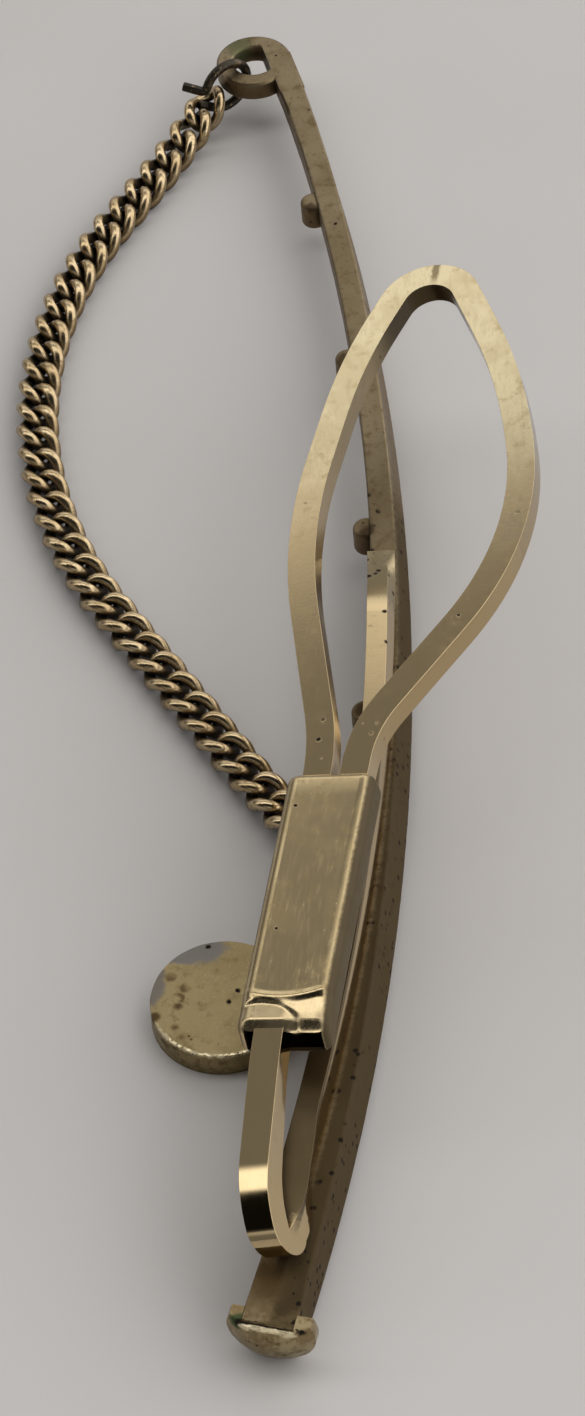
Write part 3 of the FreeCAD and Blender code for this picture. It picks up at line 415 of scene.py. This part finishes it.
def reel_finish():
    """Dull gilt disc, worn to grey on one side, with dark pits round its rim, painted glints along its burr
    and painted shade with dirt in its hollows.
    """
    metal = Metal("reel_gilt", (0.3, 0.235, 0.118), 0.36)
    metal.layer(metal.clouds(0.5, 0.42, 0.62, 3.0), (0.255, 0.197, 0.096), rougher=0.05)
    metal.layer(metal.clouds(2.6, 0.5, 0.74, 6.0), (0.2, 0.15, 0.07), rougher=0.07)
    metal.layer(metal.clouds(9.0, 0.56, 0.74, 3.0), (0.36, 0.29, 0.16), rougher=0.05)
    worn = metal.near((-1.05, 2.25, 1.0), (1.45, 0.85, 1.2), 0.35, 0.7)
    metal.layer(worn, (0.17, 0.158, 0.14), rougher=0.06, duller=0.1)
    metal.layer(metal.near((-2.4, 0.9, 1.0), (0.45, 1.3, 1.2), 0.4, 0.8), (0.17, 0.15, 0.125), rougher=0.06,
                duller=0.1)
    side = metal.near((-1.9, -0.6, 1.0), (1.0, 2.2, 1.2), 0.4)
    metal.layer(side * metal.pits(1.5, 0.44, 0.9), (0.09, 0.057, 0.024), rougher=0.2, duller=0.2, sunk=0.4)
    across, along, height = metal.parts(metal.here)
    reach = metal.uneven((across ** 2 + along ** 2) ** 0.5, 0.1)
    # Painted glints: pale, smoother patches along the burr on the disc's top.
    burr = metal.band(reach, REEL_RADIUS - 0.13, REEL_RADIUS - 0.04, 0.04)
    burr = burr * metal.between(along, -1.7, -0.7, 1.0, 0.0)
    metal.layer(burr * metal.clouds(5.0, 0.38, 0.5) * metal.between(height, 0.85, 0.95), (0.75, 0.65, 0.42),
                rougher=-0.2)
    edge = metal.between(height, 0.7, 0.9, 1.0, 0.0)
    metal.layer(edge * metal.clouds(2.4, 0.48, 0.62, 5.0) * 0.7, (0.16, 0.11, 0.05), rougher=0.1, duller=0.1)
    metal.layer(metal.pits(1.1, 0.14, 0.65), PIT, **PITTED)
    metal.layer(metal.pits(2.4, 0.16, 0.35), (0.12, 0.08, 0.04), rougher=0.2, duller=0.2, sunk=0.5)
    # Painted shade with dirt in the reel's hollows.
    metal.layer(metal.hollow_shade(0.4, 0.2, 0.7), DIRT_AND_SHADE, rougher=0.2, duller=0.3)
    metal.height = metal.height + 0.45 * metal.fine + 0.4 * metal.noise(metal.here, 1.6, 3.0)
    return metal.close(0.012)


def cap_finish():
    """Gilt button, mottled, with dirt at its seam, painted glints on its rim, painted shade with dirt in its
    hollows and a green spot on one ear.
    """
    metal = Metal("cap_gilt", (0.38, 0.305, 0.17), 0.3)
    metal.layer(metal.clouds(1.2, 0.42, 0.62), (0.27, 0.205, 0.105), rougher=0.06)
    metal.layer(metal.clouds(3.6, 0.52, 0.68, 5.0), (0.17, 0.12, 0.055), rougher=0.08, duller=0.1)
    metal.layer(metal.clouds(2.2, 0.48, 0.6, 5.0) * 0.7, (0.2, 0.14, 0.065), rougher=0.08, duller=0.1)
    metal.layer(metal.near((0.55, -14.25, 2.2), (0.75, 0.38, 0.5), 0.5, 0.9), VERDIGRIS, rougher=0.25,
                duller=0.6)
    metal.layer(metal.near((0.6, -14.3, 2.2), (0.4, 0.22, 0.4), 0.6, 0.9), (0.015, 0.025, 0.008),
                rougher=0.25, duller=0.6)
    _, past, height = metal.local(TONGUE_END)
    # Painted glints: pale, smoother patches along the rim past the tongue's end.
    rim = metal.band(metal.uneven(past, 0.16), 0.12, 0.2, 0.08) * metal.between(height, -0.25, -0.1)
    metal.layer(rim * metal.clouds(2.4, 0.4, 0.5), (0.78, 0.68, 0.45), rougher=-0.14)
    crack = metal.band(metal.uneven(past, 0.14), -0.05, 0.05, 0.05) * metal.between(height, -0.25, -0.1)
    metal.layer(crack * metal.clouds(2.0, 0.35, 0.5), PIT, rougher=0.2, duller=0.4, sunk=1.0)
    metal.layer(metal.pits(2.0, 0.14, 0.4), PIT, **PITTED)
    # Painted shade with dirt in the cap's hollows.
    metal.layer(metal.hollow_shade(0.35, 0.2, 0.75), DIRT_AND_SHADE, rougher=0.2, duller=0.3)
    metal.height = metal.height + 0.5 * metal.fine
    return metal.close(0.012)


def chain_finish():
    """Redder gilt, with painted shade over some tarnish: darker lower down and nearly black between the
    links.
    """
    metal = Metal("chain_gilt", (0.55, 0.43, 0.26), 0.2)
    _, _, height = metal.parts(metal.here)
    metal.layer(metal.clouds(1.6, 0.42, 0.62), (0.45, 0.335, 0.185), rougher=0.05)
    metal.layer(metal.clouds(6.0, 0.54, 0.72), (0.28, 0.19, 0.092), rougher=0.1)
    # Painted shade over some tarnish: the links darker lower down.
    metal.layer(metal.between(metal.uneven(height, 0.4), 0.3, 1.15, 1.0, 0.0) * 0.8, (0.11, 0.07, 0.032),
                rougher=0.15, duller=0.1)
    # Painted shade over some tarnish: nearly black between the links.
    metal.layer(metal.hollow_shade(0.6, 0.36, 0.82), (0.014, 0.008, 0.004), rougher=0.2, duller=0.3)
    metal.height = metal.height + 0.4 * metal.fine
    return metal.close(0.006)


def ring_finish():
    """Blackened ring wire with a little brass showing through."""
    metal = Metal("black_ring", (0.045, 0.038, 0.03), 0.42)
    metal.layer(metal.clouds(2.6, 0.5, 0.66, 5.0), (0.12, 0.09, 0.055), rougher=-0.06)
    metal.layer(metal.clouds(7.0, 0.58, 0.7), (0.26, 0.19, 0.1), rougher=-0.1)
    # Painted shade: the ring nearly black in its hollows.
    metal.layer(metal.hollow_shade(0.4, 0.2, 0.7), (0.01, 0.007, 0.004), rougher=0.1, duller=0.3)
    metal.height = metal.height + 0.5 * metal.fine
    return metal.close(0.01)


# Places.

def frame_matrix(origin, x_axis, y_axis, z_axis):
    made = Matrix((x_axis, y_axis, z_axis)).transposed().to_4x4()
    made.translation = origin
    return made


def clip_place():
    """Top of the hairpin bend: Y along the arm, Z away from the rod."""
    heading, slope, roll = (math.radians(angle) for angle in (CLIP_HEADING, CLIP_SLOPE, CLIP_ROLL))
    along = Vector((math.sin(heading) * math.cos(slope),
                    math.cos(heading) * math.cos(slope),
                    math.sin(slope)))
    level = Vector((math.cos(heading), -math.sin(heading), 0))
    square = level.cross(along)
    across = level * math.cos(roll) + square * math.sin(roll)
    away = square * math.cos(roll) - level * math.sin(roll)
    return frame_matrix(BEND_TOP, across, along, away)


def arm_start():
    """Where the arm starts, and the middle of the wide arc before it, in the clip's place."""
    turn = math.radians(BEND_TIGHT_TURN)
    along = BEND_RADIUS * (1 - math.cos(turn)) + BEND_ARM_RADIUS * math.cos(turn)
    middle = (BEND_RADIUS - BEND_ARM_RADIUS) * math.sin(turn)
    return Vector((0, along, middle + BEND_ARM_RADIUS)), Vector((0, along, middle))


CLIP = clip_place()
ARM_START, ARM_ARC_MIDDLE = arm_start()
SLEEVE = CLIP @ Matrix.Translation((SLEEVE_SHIFT, SLEEVE_START, ARM_START.z))
SLEEVE = SLEEVE @ Matrix.Rotation(-math.radians(SLEEVE_TURN), 4, "Z")
# Y points out of the tongue's end.
TONGUE_END = Matrix.Translation(TONGUE_PLACE) @ Matrix.Rotation(math.radians(TONGUE_TURN), 4, "Z")


# Modelling.

def clear_selection():
    if bpy.context.object and bpy.context.object.mode != "OBJECT":
        bpy.ops.object.mode_set(mode="OBJECT")
    bpy.ops.object.select_all(action="DESELECT")


def keep_place():
    """Puts the selected piece's place, turn and scale into its mesh."""
    bpy.ops.object.transform_apply(location=True, rotation=True, scale=True)


def start_section(name, place, width, thickness, corners=4):
    """A flat rectangle or oval, ready to be drawn out into a bar; place is in millimetres."""
    clear_selection()
    if corners == 4:
        bpy.ops.mesh.primitive_plane_add(size=1)
    else:
        bpy.ops.mesh.primitive_circle_add(vertices=corners, radius=0.5, fill_type="NGON")
    piece = bpy.context.object
    piece.name = name
    piece.matrix_world = Matrix.Scale(MM, 4) @ place @ Matrix.Diagonal((width, thickness, 1, 1))
    keep_place()
    bpy.ops.object.mode_set(mode="EDIT")
    bpy.ops.mesh.select_all(action="SELECT")
    return piece


def draw_out(step):
    bpy.ops.mesh.extrude_region_move(TRANSFORM_OT_translate={"value": step * MM})


def bend_round(centre, axis, angle, steps):
    """Draws the bar round a centre; the operator turns the other way, so its angle is negative."""
    bpy.ops.mesh.spin(steps=steps, angle=-angle, center=centre * MM, axis=axis, use_auto_merge=False)


def turn_end(piece, centre, turn):
    """Turns the bar's open end about its middle."""
    mesh = bmesh.from_edit_mesh(piece.data)
    ends = [vertex for vertex in mesh.verts if vertex.select]
    bmesh.ops.rotate(mesh, cent=centre * MM, matrix=turn, verts=ends)
    bmesh.update_edit_mesh(piece.data)


def round_corner(before, corner, after, share):
    """Where the rounding of a corner starts and ends, with its centre, axis and angle."""
    reach = share * min((before - corner).length, (after - corner).length)
    back, ahead = (before - corner).normalized(), (after - corner).normalized()
    half_turn = (math.pi - back.angle(ahead)) / 2
    radius = reach / math.tan(half_turn)
    centre = corner + (back + ahead).normalized() * (radius / math.cos(half_turn))
    axis = (-back).cross(ahead).normalized()
    return corner + back * reach, corner + ahead * reach, centre, axis, 2 * half_turn


def draw_along(points, rounding_shares, step_degrees):
    """Draws the bar along straight runs, round each corner between them."""
    last = points[0]
    for before, corner, after, share in zip(points, points[1:], points[2:], rounding_shares):
        start, end, centre, axis, angle = round_corner(before, corner, after, share)
        if (start - last).length > SHORTEST_RUN:
            draw_out(start - last)
        bend_round(centre, axis, angle, max(FEWEST_STEPS, round(math.degrees(angle) / step_degrees)))
        last = end
    draw_out(points[-1] - last)


def apply_modifier(piece, kind, **settings):
    modifier = piece.modifiers.new(kind.lower(), kind)
    for name, value in settings.items():
        setattr(modifier, name, value)
    bpy.context.view_layer.objects.active = piece
    bpy.ops.object.modifier_apply(modifier=modifier.name)


def finish_piece(piece, *materials, smooth_angle=SMOOTH_ANGLE):
    """Smooth shading and materials."""
    bpy.context.view_layer.objects.active = piece
    piece.select_set(True)
    bpy.ops.object.shade_smooth_by_angle(angle=math.radians(smooth_angle))
    piece.data.materials.clear()
    for material in materials:
        piece.data.materials.append(material)


def face_outwards(piece):
    bpy.context.view_layer.objects.active = piece
    bpy.ops.object.mode_set(mode="EDIT")
    bpy.ops.mesh.select_all(action="SELECT")
    bpy.ops.mesh.normals_make_consistent(inside=False)
    bpy.ops.object.mode_set(mode="OBJECT")


def smooth_step(value, low, high):
    share = min(1.0, max(0.0, (value - low) / (high - low)))
    return share * share * (3 - 2 * share)


def leg_station(share):
    """Middle, turn and angle of the soldered leg between the bend's foot and its end."""
    across, along, away = (CLIP.to_3x3() @ unit for unit in (ACROSS, ALONG, UP))
    foot = CLIP.translation + (along - away) * BEND_RADIUS
    y = foot.y + (LEG_END - foot.y) * share
    angle = math.asin((y - LEG_BOW_CENTRE.y) / LEG_BOW_RADIUS)
    out = Vector((math.cos(angle), math.sin(angle), 0))
    reach = LEG_BOW_RADIUS + WIRE_WIDTH / 2 - LEG_OVERHANG
    seat = LEG_BOW_CENTRE + out * reach + UP * (BACK + WIRE_THICKNESS / 2)
    blend = max(0.0, 1 - share / LEG_BLEND_SHARE) ** 2
    start = foot + along * ((y - foot.y) / along.y)
    side = (out * (1 - blend) + across * blend).normalized()
    heading = (Vector((-out.y, out.x, 0)) * (1 - blend) + along * blend).normalized()
    rise = side.cross(heading).normalized()
    return seat * (1 - blend) + start * blend, frame_matrix(Vector(), side, rise, side.cross(rise)), angle


def taper_leg(piece):
    """Files the soldered end of the leg down onto the rod."""
    for vertex in piece.data.vertices:
        _, y, z = vertex.co / MM
        height = z - BACK
        if y > LEG_TAPER_START and height < WIRE_THICKNESS + TOUCH:
            share = (y - LEG_TAPER_START) / (LEG_END - LEG_TAPER_START)
            filed = LEG_TAPER_STRAIGHT * share + (1 - LEG_TAPER_STRAIGHT) * smooth_step(share, 0, 1)
            keep = 1 - (1 - LEG_END_HEIGHT) * filed
            vertex.co.z = (BACK + height * keep) * MM


def shape_leg(piece):
    """Slopes the leg's outer side, and leans the bend."""
    middle = LEG_BOW_RADIUS + WIRE_WIDTH / 2 - LEG_OVERHANG
    for vertex in piece.data.vertices:
        x, y, z = vertex.co / MM
        outwards = Vector((x, y, 0)) - LEG_BOW_CENTRE
        if LEG_SET_IN_FROM < y and BACK + WIRE_THICKNESS / 2 < z < LEG_TOP and outwards.length > middle:
            set_in = LEG_SET_IN * smooth_step(y, LEG_SET_IN_FROM, LEG_SET_IN_TO)
            vertex.co -= outwards.normalized() * set_in * MM
        depth = ARM_TOP + ARM_RISE * (y - ARM_TOP_ALONG) - z
        if z > LEG_TOP:
            lean = BEND_LEAN + (ARM_LEAN - BEND_LEAN) * smooth_step(y, BEND_LEAN_FROM, ARM_LEAN_TO)
            lean *= 1 - smooth_step(y, ARM_LEAN_TO, ARM_LEAN_TO + ARM_LEAN_FADE)
        else:
            lean = BEND_LEAN * (1 - smooth_step(y, BEND_LEAN_FROM, LEG_LEAN_TO))
        vertex.co.x += max(0.0, lean * depth) * MM


def mark_flanks(piece):
    """Writes how far each face of the loop is one of the wire's sides, where its finish paints shade."""
    away = CLIP.to_3x3() @ UP
    shaded_flank = piece.data.attributes.new("shaded_flank", "FLOAT", "FACE")
    for face, mark in zip(piece.data.polygons, shaded_flank.data):
        past_arm = smooth_step(face.center.y / MM, *FLANK_FROM)
        mark.value = past_arm * (1 - smooth_step(face.normal.dot(away), *FLANK_TILT))


def make_wire(material):
    """The whole wire: soldered leg, hairpin bend, arm and loop, drawn out as one bar."""
    middle, turn, angle = leg_station(1.0)
    place = turn.copy()
    place.translation = middle
    piece = start_section("wire", place, WIRE_WIDTH, WIRE_THICKNESS)
    last_middle, last_turn, blend_angle = leg_station(LEG_BLEND_SHARE)
    bend_round(LEG_BOW_CENTRE, UP, blend_angle - angle, LEG_STEPS)
    for step in reversed(range(LEG_BLEND_STEPS)):
        middle, turn, _ = leg_station(LEG_BLEND_SHARE * step / LEG_BLEND_STEPS)
        draw_out(middle - last_middle)
        turn_end(piece, middle, (turn @ last_turn.inverted()).to_3x3())
        last_middle, last_turn = middle, turn
    across = CLIP.to_3x3() @ ACROSS
    bend_round(CLIP @ (ALONG * BEND_RADIUS), across, -math.radians(90 + BEND_TIGHT_TURN), BEND_STEPS)
    bend_round(CLIP @ ARM_ARC_MIDDLE, across, -math.radians(90 - BEND_TIGHT_TURN), ARM_ARC_STEPS)
    points = [CLIP @ ARM_START, SLEEVE @ Vector((-INNER_LEG_OFFSET, 0, 0))]
    for side, far, _ in LOOP_CORNERS:
        points.append(SLEEVE @ Vector((LOOP_WIDTH * side, SLEEVE_LENGTH + LOOP_LENGTH * far, 0)))
    points.append(SLEEVE @ Vector((OUTER_LEG_OFFSET, LEG_TAIL, 0)))
    draw_along(points, [MOUTH_ROUNDING_SHARE] + [share for _, _, share in LOOP_CORNERS], CORNER_STEP)
    bpy.ops.object.mode_set(mode="OBJECT")
    shape_leg(piece)
    taper_leg(piece)
    face_outwards(piece)
    finish_piece(piece, material)
    apply_modifier(piece, "BEVEL", width=WIRE_EDGE * MM, segments=WIRE_EDGE_SEGMENTS, limit_method="ANGLE",
                   angle_limit=math.radians(BEVEL_ANGLE), harden_normals=True)
    mark_flanks(piece)
    return piece


def press_sleeve(point):
    """Where the crimping tool moved a point of the sleeve, in its own millimetres."""
    x, y, z = point
    top = smooth_step(z, *TOP_ZONE)
    crease = CREASE_ALONG + CREASE_BOW * ((x - CREASE_MIDDLE) / CREASE_REACH) ** 2
    pressed = 1 - smooth_step(y, crease + CREASE_SOFT[0], crease + CREASE_SOFT[1])
    ridge = math.exp(-((y - crease - RIDGE_AHEAD) / RIDGE_WIDTH) ** 2)
    slope = max(0.0, crease - y) * smooth_step(x, *PRESS_SLOPE_ZONE)
    from_scoop = [(at - middle) / radius for at, middle, radius in zip((x, y), SCOOP_MIDDLE, SCOOP_RADII)]
    scoop = 1 - smooth_step(math.hypot(*from_scoop), SCOOP_EDGE, 1.0)
    z += top * (RIDGE_RISE * ridge - (PRESS_DEPTH + PRESS_SLOPE * slope + SCOOP_DEPTH * scoop) * pressed)
    set_back = SET_BACK * smooth_step(z, *SET_BACK_ZONE) * (1 - smooth_step(y, 0.0, SET_BACK_REACH))
    flare = 1 - smooth_step(y, 0.0, FLARE_REACH)
    side = x + SLEEVE_OFFSET
    x += (FLARE_OUTER if side > 0 else FLARE_INNER) * flare * smooth_step(abs(side), *SIDE_ZONE)
    far = smooth_step(y, SLEEVE_LENGTH - DRAW_IN_REACH, SLEEVE_LENGTH)
    z -= DRAW_IN * far * (1 if z > 0 else -1) * smooth_step(abs(z), *FLAT_ZONE)
    x -= DRAW_IN * far * (1 if side > 0 else -1) * smooth_step(abs(side), *SIDE_ZONE)
    return Vector((x, y + set_back, z))


def make_sleeve(material, inside_shade):
    """Flattened tube with a crimped, flared mouth."""
    clear_selection()
    bpy.ops.mesh.primitive_cube_add(size=1)
    piece = bpy.context.object
    piece.name = "crimped_sleeve"
    piece.scale = (SLEEVE_WIDTH, SLEEVE_LENGTH, SLEEVE_HEIGHT)
    piece.location = (-SLEEVE_OFFSET, SLEEVE_LENGTH / 2, 0)
    keep_place()
    for edge in piece.data.edges:
        ends = [piece.data.vertices[number].co for number in edge.vertices]
        edge.select = abs(ends[0].y - ends[1].y) > SLEEVE_LENGTH / 2
    bpy.ops.object.mode_set(mode="EDIT")
    bpy.ops.mesh.select_mode(type="EDGE")
    bpy.ops.mesh.bevel(offset=SLEEVE_CORNER, segments=SLEEVE_CORNER_SEGMENTS, affect="EDGES")
    bpy.ops.mesh.select_mode(type="FACE")
    bpy.ops.object.mode_set(mode="OBJECT")
    for face in piece.data.polygons:
        face.select = abs(face.normal.y) > FACING
    bpy.ops.object.mode_set(mode="EDIT")
    bpy.ops.mesh.delete(type="ONLY_FACE")
    cuts = [(ALONG, CUT_STEP * (step + 1)) for step in range(MOUTH_CUTS)]
    cuts += [(ALONG, y) for y in FAR_CUTS]
    cuts += [(ACROSS, -SLEEVE_OFFSET - SIDE_CUTS_REACH + CUT_STEP * step) for step in range(SIDE_CUTS)]
    for normal, distance in cuts:
        bpy.ops.mesh.select_all(action="SELECT")
        bpy.ops.mesh.bisect(plane_co=normal * distance, plane_no=normal)
    bpy.ops.object.mode_set(mode="OBJECT")
    for vertex in piece.data.vertices:
        vertex.co = press_sleeve(vertex.co)
    face_outwards(piece)
    # The second material is the sleeve's inside, painted as shade.
    piece.data.materials.append(material)
    piece.data.materials.append(inside_shade)
    apply_modifier(piece, "SOLIDIFY", thickness=SLEEVE_WALL, offset=-1.0, use_even_offset=True,
                   material_offset=1, material_offset_rim=1)
    for face in piece.data.polygons:
        if abs(face.normal.y) > LIP_FACING and face.center.z > LIP_HEIGHT:
            face.material_index = 0
    piece.matrix_world = Matrix.Scale(MM, 4) @ SLEEVE
    piece.select_set(True)
    keep_place()
    faces = [face.material_index for face in piece.data.polygons]
    finish_piece(piece, material, inside_shade)
    for face, index in zip(piece.data.polygons, faces):
        face.material_index = index
    return piece


def make_jump_ring(material):
    """Open ring of round wire with its two ends splayed to one side."""
    heading, droop = math.radians(RING_HEADING), math.radians(RING_DROOP)
    level = Vector((-math.sin(heading), math.cos(heading), 0))
    out = level * math.cos(droop) - UP * math.sin(droop)
    axis = level.cross(UP).normalized()
    rise = axis.cross(out)

    def at(degrees, radius=RING_RADIUS):
        turn = math.radians(degrees)
        return RING_CENTRE + (out * math.cos(turn) + rise * math.sin(turn)) * radius

    def heading_at(degrees):
        turn = math.radians(degrees)
        return rise * math.cos(turn) - out * math.sin(turn)

    half_step = math.radians(RING_HALF_STEP)
    corners = [at(degrees, RING_RADIUS / math.cos(half_step)) for degrees in RING_CORNERS]
    first = at(RING_START) - heading_at(RING_START) * RING_FIRST_RUN
    last = at(RING_STOP) + heading_at(RING_STOP) * RING_LAST_RUN
    points = [first + RING_FIRST_END, first] + corners + [last, last + RING_LAST_END]
    side = RING_RADIUS * math.tan(half_step)
    first_side, last_side = (first - corners[0]).length, (last - corners[-1]).length
    shares = [RING_END_ROUNDING * RING_FIRST_RUN / first_side, side / first_side, 0.5, 0.5, side / last_side,
              RING_END_ROUNDING * RING_LAST_RUN / (last - points[-1]).length]
    along = (points[1] - points[0]).normalized()
    across = along.orthogonal().normalized()
    place = frame_matrix(points[0], across, along.cross(across), along)
    piece = start_section("jump_ring", place, RING_WIRE, RING_WIRE, RING_SIDES)
    draw_along(points, shares, RING_STEP)
    bpy.ops.object.mode_set(mode="OBJECT")
    face_outwards(piece)
    apply_modifier(piece, "BEVEL", width=RING_EDGE * MM, segments=RING_EDGE_SEGMENTS, limit_method="ANGLE",
                   angle_limit=math.radians(BEVEL_ANGLE))
    finish_piece(piece, material)
    return piece


def select_faces(piece, test):
    """Selects the faces that pass a test; starts and ends in edit mode."""
    bpy.ops.object.mode_set(mode="OBJECT")
    for face in piece.data.polygons:
        face.select = test(face)
    bpy.ops.object.mode_set(mode="EDIT")


def ragged(angle):
    """An uneven number between -1 and 1 round a rim."""
    return sum(height * math.sin(waves * angle + start) for height, waves, start in RIM_WAVES)


def make_reel(material):
    """Disc with a ring groove in its front and a burr along one side of its back."""
    clear_selection()
    bpy.ops.mesh.primitive_cylinder_add(
        vertices=REEL_SIDES, radius=REEL_RADIUS * MM, depth=REEL_THICKNESS * MM,
        location=(0, 0, REEL_THICKNESS * MM / 2))
    piece = bpy.context.object
    piece.name = "reel_disc"
    keep_place()
    bpy.ops.object.mode_set(mode="EDIT")
    bpy.ops.mesh.select_mode(type="FACE")
    select_faces(piece, lambda face: face.normal.z < -FACING)
    bpy.ops.mesh.inset(thickness=(REEL_RADIUS - REEL_GROOVE_OUTER) * MM)
    draw_out(UP * REEL_GROOVE_DEPTH)
    bpy.ops.mesh.inset(thickness=(REEL_GROOVE_OUTER - REEL_GROOVE_INNER) * MM)
    draw_out(-UP * REEL_GROOVE_DEPTH)
    select_faces(piece, lambda face: face.normal.z > FACING)
    for width in REEL_RIM_RINGS:
        bpy.ops.mesh.inset(thickness=width * MM)
    bpy.ops.object.mode_set(mode="OBJECT")
    for vertex in piece.data.vertices:
        x, y, z = vertex.co / MM
        if z < REEL_THICKNESS / 2:
            continue
        radius, angle = math.hypot(x, y), math.atan2(y, x)
        burr = smooth_step(-y, *BURR_ZONE) * (BURR_MIDDLE + BURR_UNEVEN * ragged(angle))
        rim = smooth_step(radius, REEL_RADIUS + RIM_ZONE[0], REEL_RADIUS + RIM_ZONE[1])
        crest = math.exp(-((radius - REEL_RADIUS + CREST_IN) / CREST_WIDTH) ** 2)
        outer = smooth_step(radius, REEL_RADIUS - OUTER_WIDTH, REEL_RADIUS)
        z += -RIM_SUNK * rim * (1 - burr) + CREST_RISE * burr * crest - OUTER_DROP * outer
        z += RIM_UNEVEN * ragged(angle) * rim
        shrink = 1 - OUTER_SHRINK * outer * (1 - burr) + OUTER_UNEVEN * ragged(angle + 1) * outer
        vertex.co = Vector((x * shrink, y * shrink, min(z, REEL_THICKNESS + CREST_LIMIT))) * MM
    face_outwards(piece)
    finish_piece(piece, material, smooth_angle=REEL_SMOOTH_ANGLE)
    return piece


# Camera, floor and light.

def set_camera():
    data = bpy.data.cameras.new("camera")
    data.lens = CAMERA_LENS
    data.sensor_width = CAMERA_SENSOR
    data.clip_start, data.clip_end = CAMERA_CLIP
    camera = bpy.data.objects.new("camera", data)
    camera.location = [distance * MM for distance in CAMERA_PLACE]
    camera.rotation_euler = [math.radians(angle) for angle in CAMERA_TURN]
    bpy.context.scene.collection.objects.link(camera)
    bpy.context.scene.camera = camera


def set_floor():
    clear_selection()
    bpy.ops.mesh.primitive_plane_add(size=FLOOR_SIZE, location=(0, 0, -FLOOR_DROP * MM))
    floor = bpy.context.object
    floor.name = "floor"
    finish = Finish(bpy.data.materials.new("pale_table"))
    tone = finish.noise(finish.place(), 0.02, 3.0)
    colour = finish.colours(finish.between(tone, 0.3, 0.7), *FLOOR_COLOURS)
    shader = finish.node("ShaderNodeBsdfPrincipled", {}, {"Base Color": colour, "Roughness": FLOOR_ROUGHNESS})
    finish.node("ShaderNodeOutputMaterial", {}, {"Surface": shader})
    floor.data.materials.append(finish.owner)


def set_light():
    """Soft room: a lamp, a wall behind that darkens upwards, a window, and a dark front lit low down."""
    world = bpy.data.worlds.new("studio")
    bpy.context.scene.world = world
    finish = Finish(world)
    direction = finish.node("ShaderNodeTexCoord", {}, {}, "Generated")
    side, ahead, height = finish.parts(direction)
    lean = (0 - ahead) / (ahead * ahead + height * height + NEARLY_NONE) ** 0.5
    front = finish.between(lean, *LAMP_FRONT, 1.0, FRONT_LEVEL)
    front = front + finish.between(lean, *LOW_FRONT) * LOW_FRONT_LEVEL
    lamp = finish.between(lean, *LAMP_BACK) * finish.between(lean, *LAMP_FRONT, 1.0, 0.0)
    wall = finish.between(height - GAP_TILT * side, *GAP_ZONE, WALL_LEVEL, GAP_LEVEL)
    wall = wall * finish.between(height, *WALL_FOOT, WALL_END_LEVEL, 1.0)
    wall = wall * finish.between(side, *WALL_SIDE, WALL_END_LEVEL, 1.0)
    window = finish.between(side, *WINDOW_ZONE)
    strength = (wall * (1 - lamp) + LAMP_LEVEL * lamp) * front * (1 - window) + WINDOW_LEVEL * window
    background = finish.node("ShaderNodeBackground", {}, {"Color": SKY_COLOUR, "Strength": strength})
    finish.node("ShaderNodeOutputWorld", {}, {"Surface": background})


set_camera()
set_floor()
set_light()

rod_brass = rod_finish()
chain_gilt = chain_finish()
black_ring = ring_finish()
for name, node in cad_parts.items():
    if name.startswith("chain_link"):
        node.material_slots[0].material = chain_gilt
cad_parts["rod"].material_slots[0].material = rod_brass
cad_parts["butt_cap"].material_slots[0].material = cap_finish()
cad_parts["end_ring"].material_slots[0].material = black_ring

wire = make_wire(wire_finish())
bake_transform(wire)
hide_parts("clip_wire", "spring_leg")

sleeve = make_sleeve(sleeve_finish(), inside_shade_finish())
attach(sleeve, "clip")
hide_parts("sleeve")

ring = make_jump_ring(black_ring)
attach(ring, "chain")
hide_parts("tip_ring")

reel = make_reel(reel_finish())
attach(reel, "rod_body")
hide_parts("reel")

bpy.context.scene.view_settings.view_transform = "Standard"
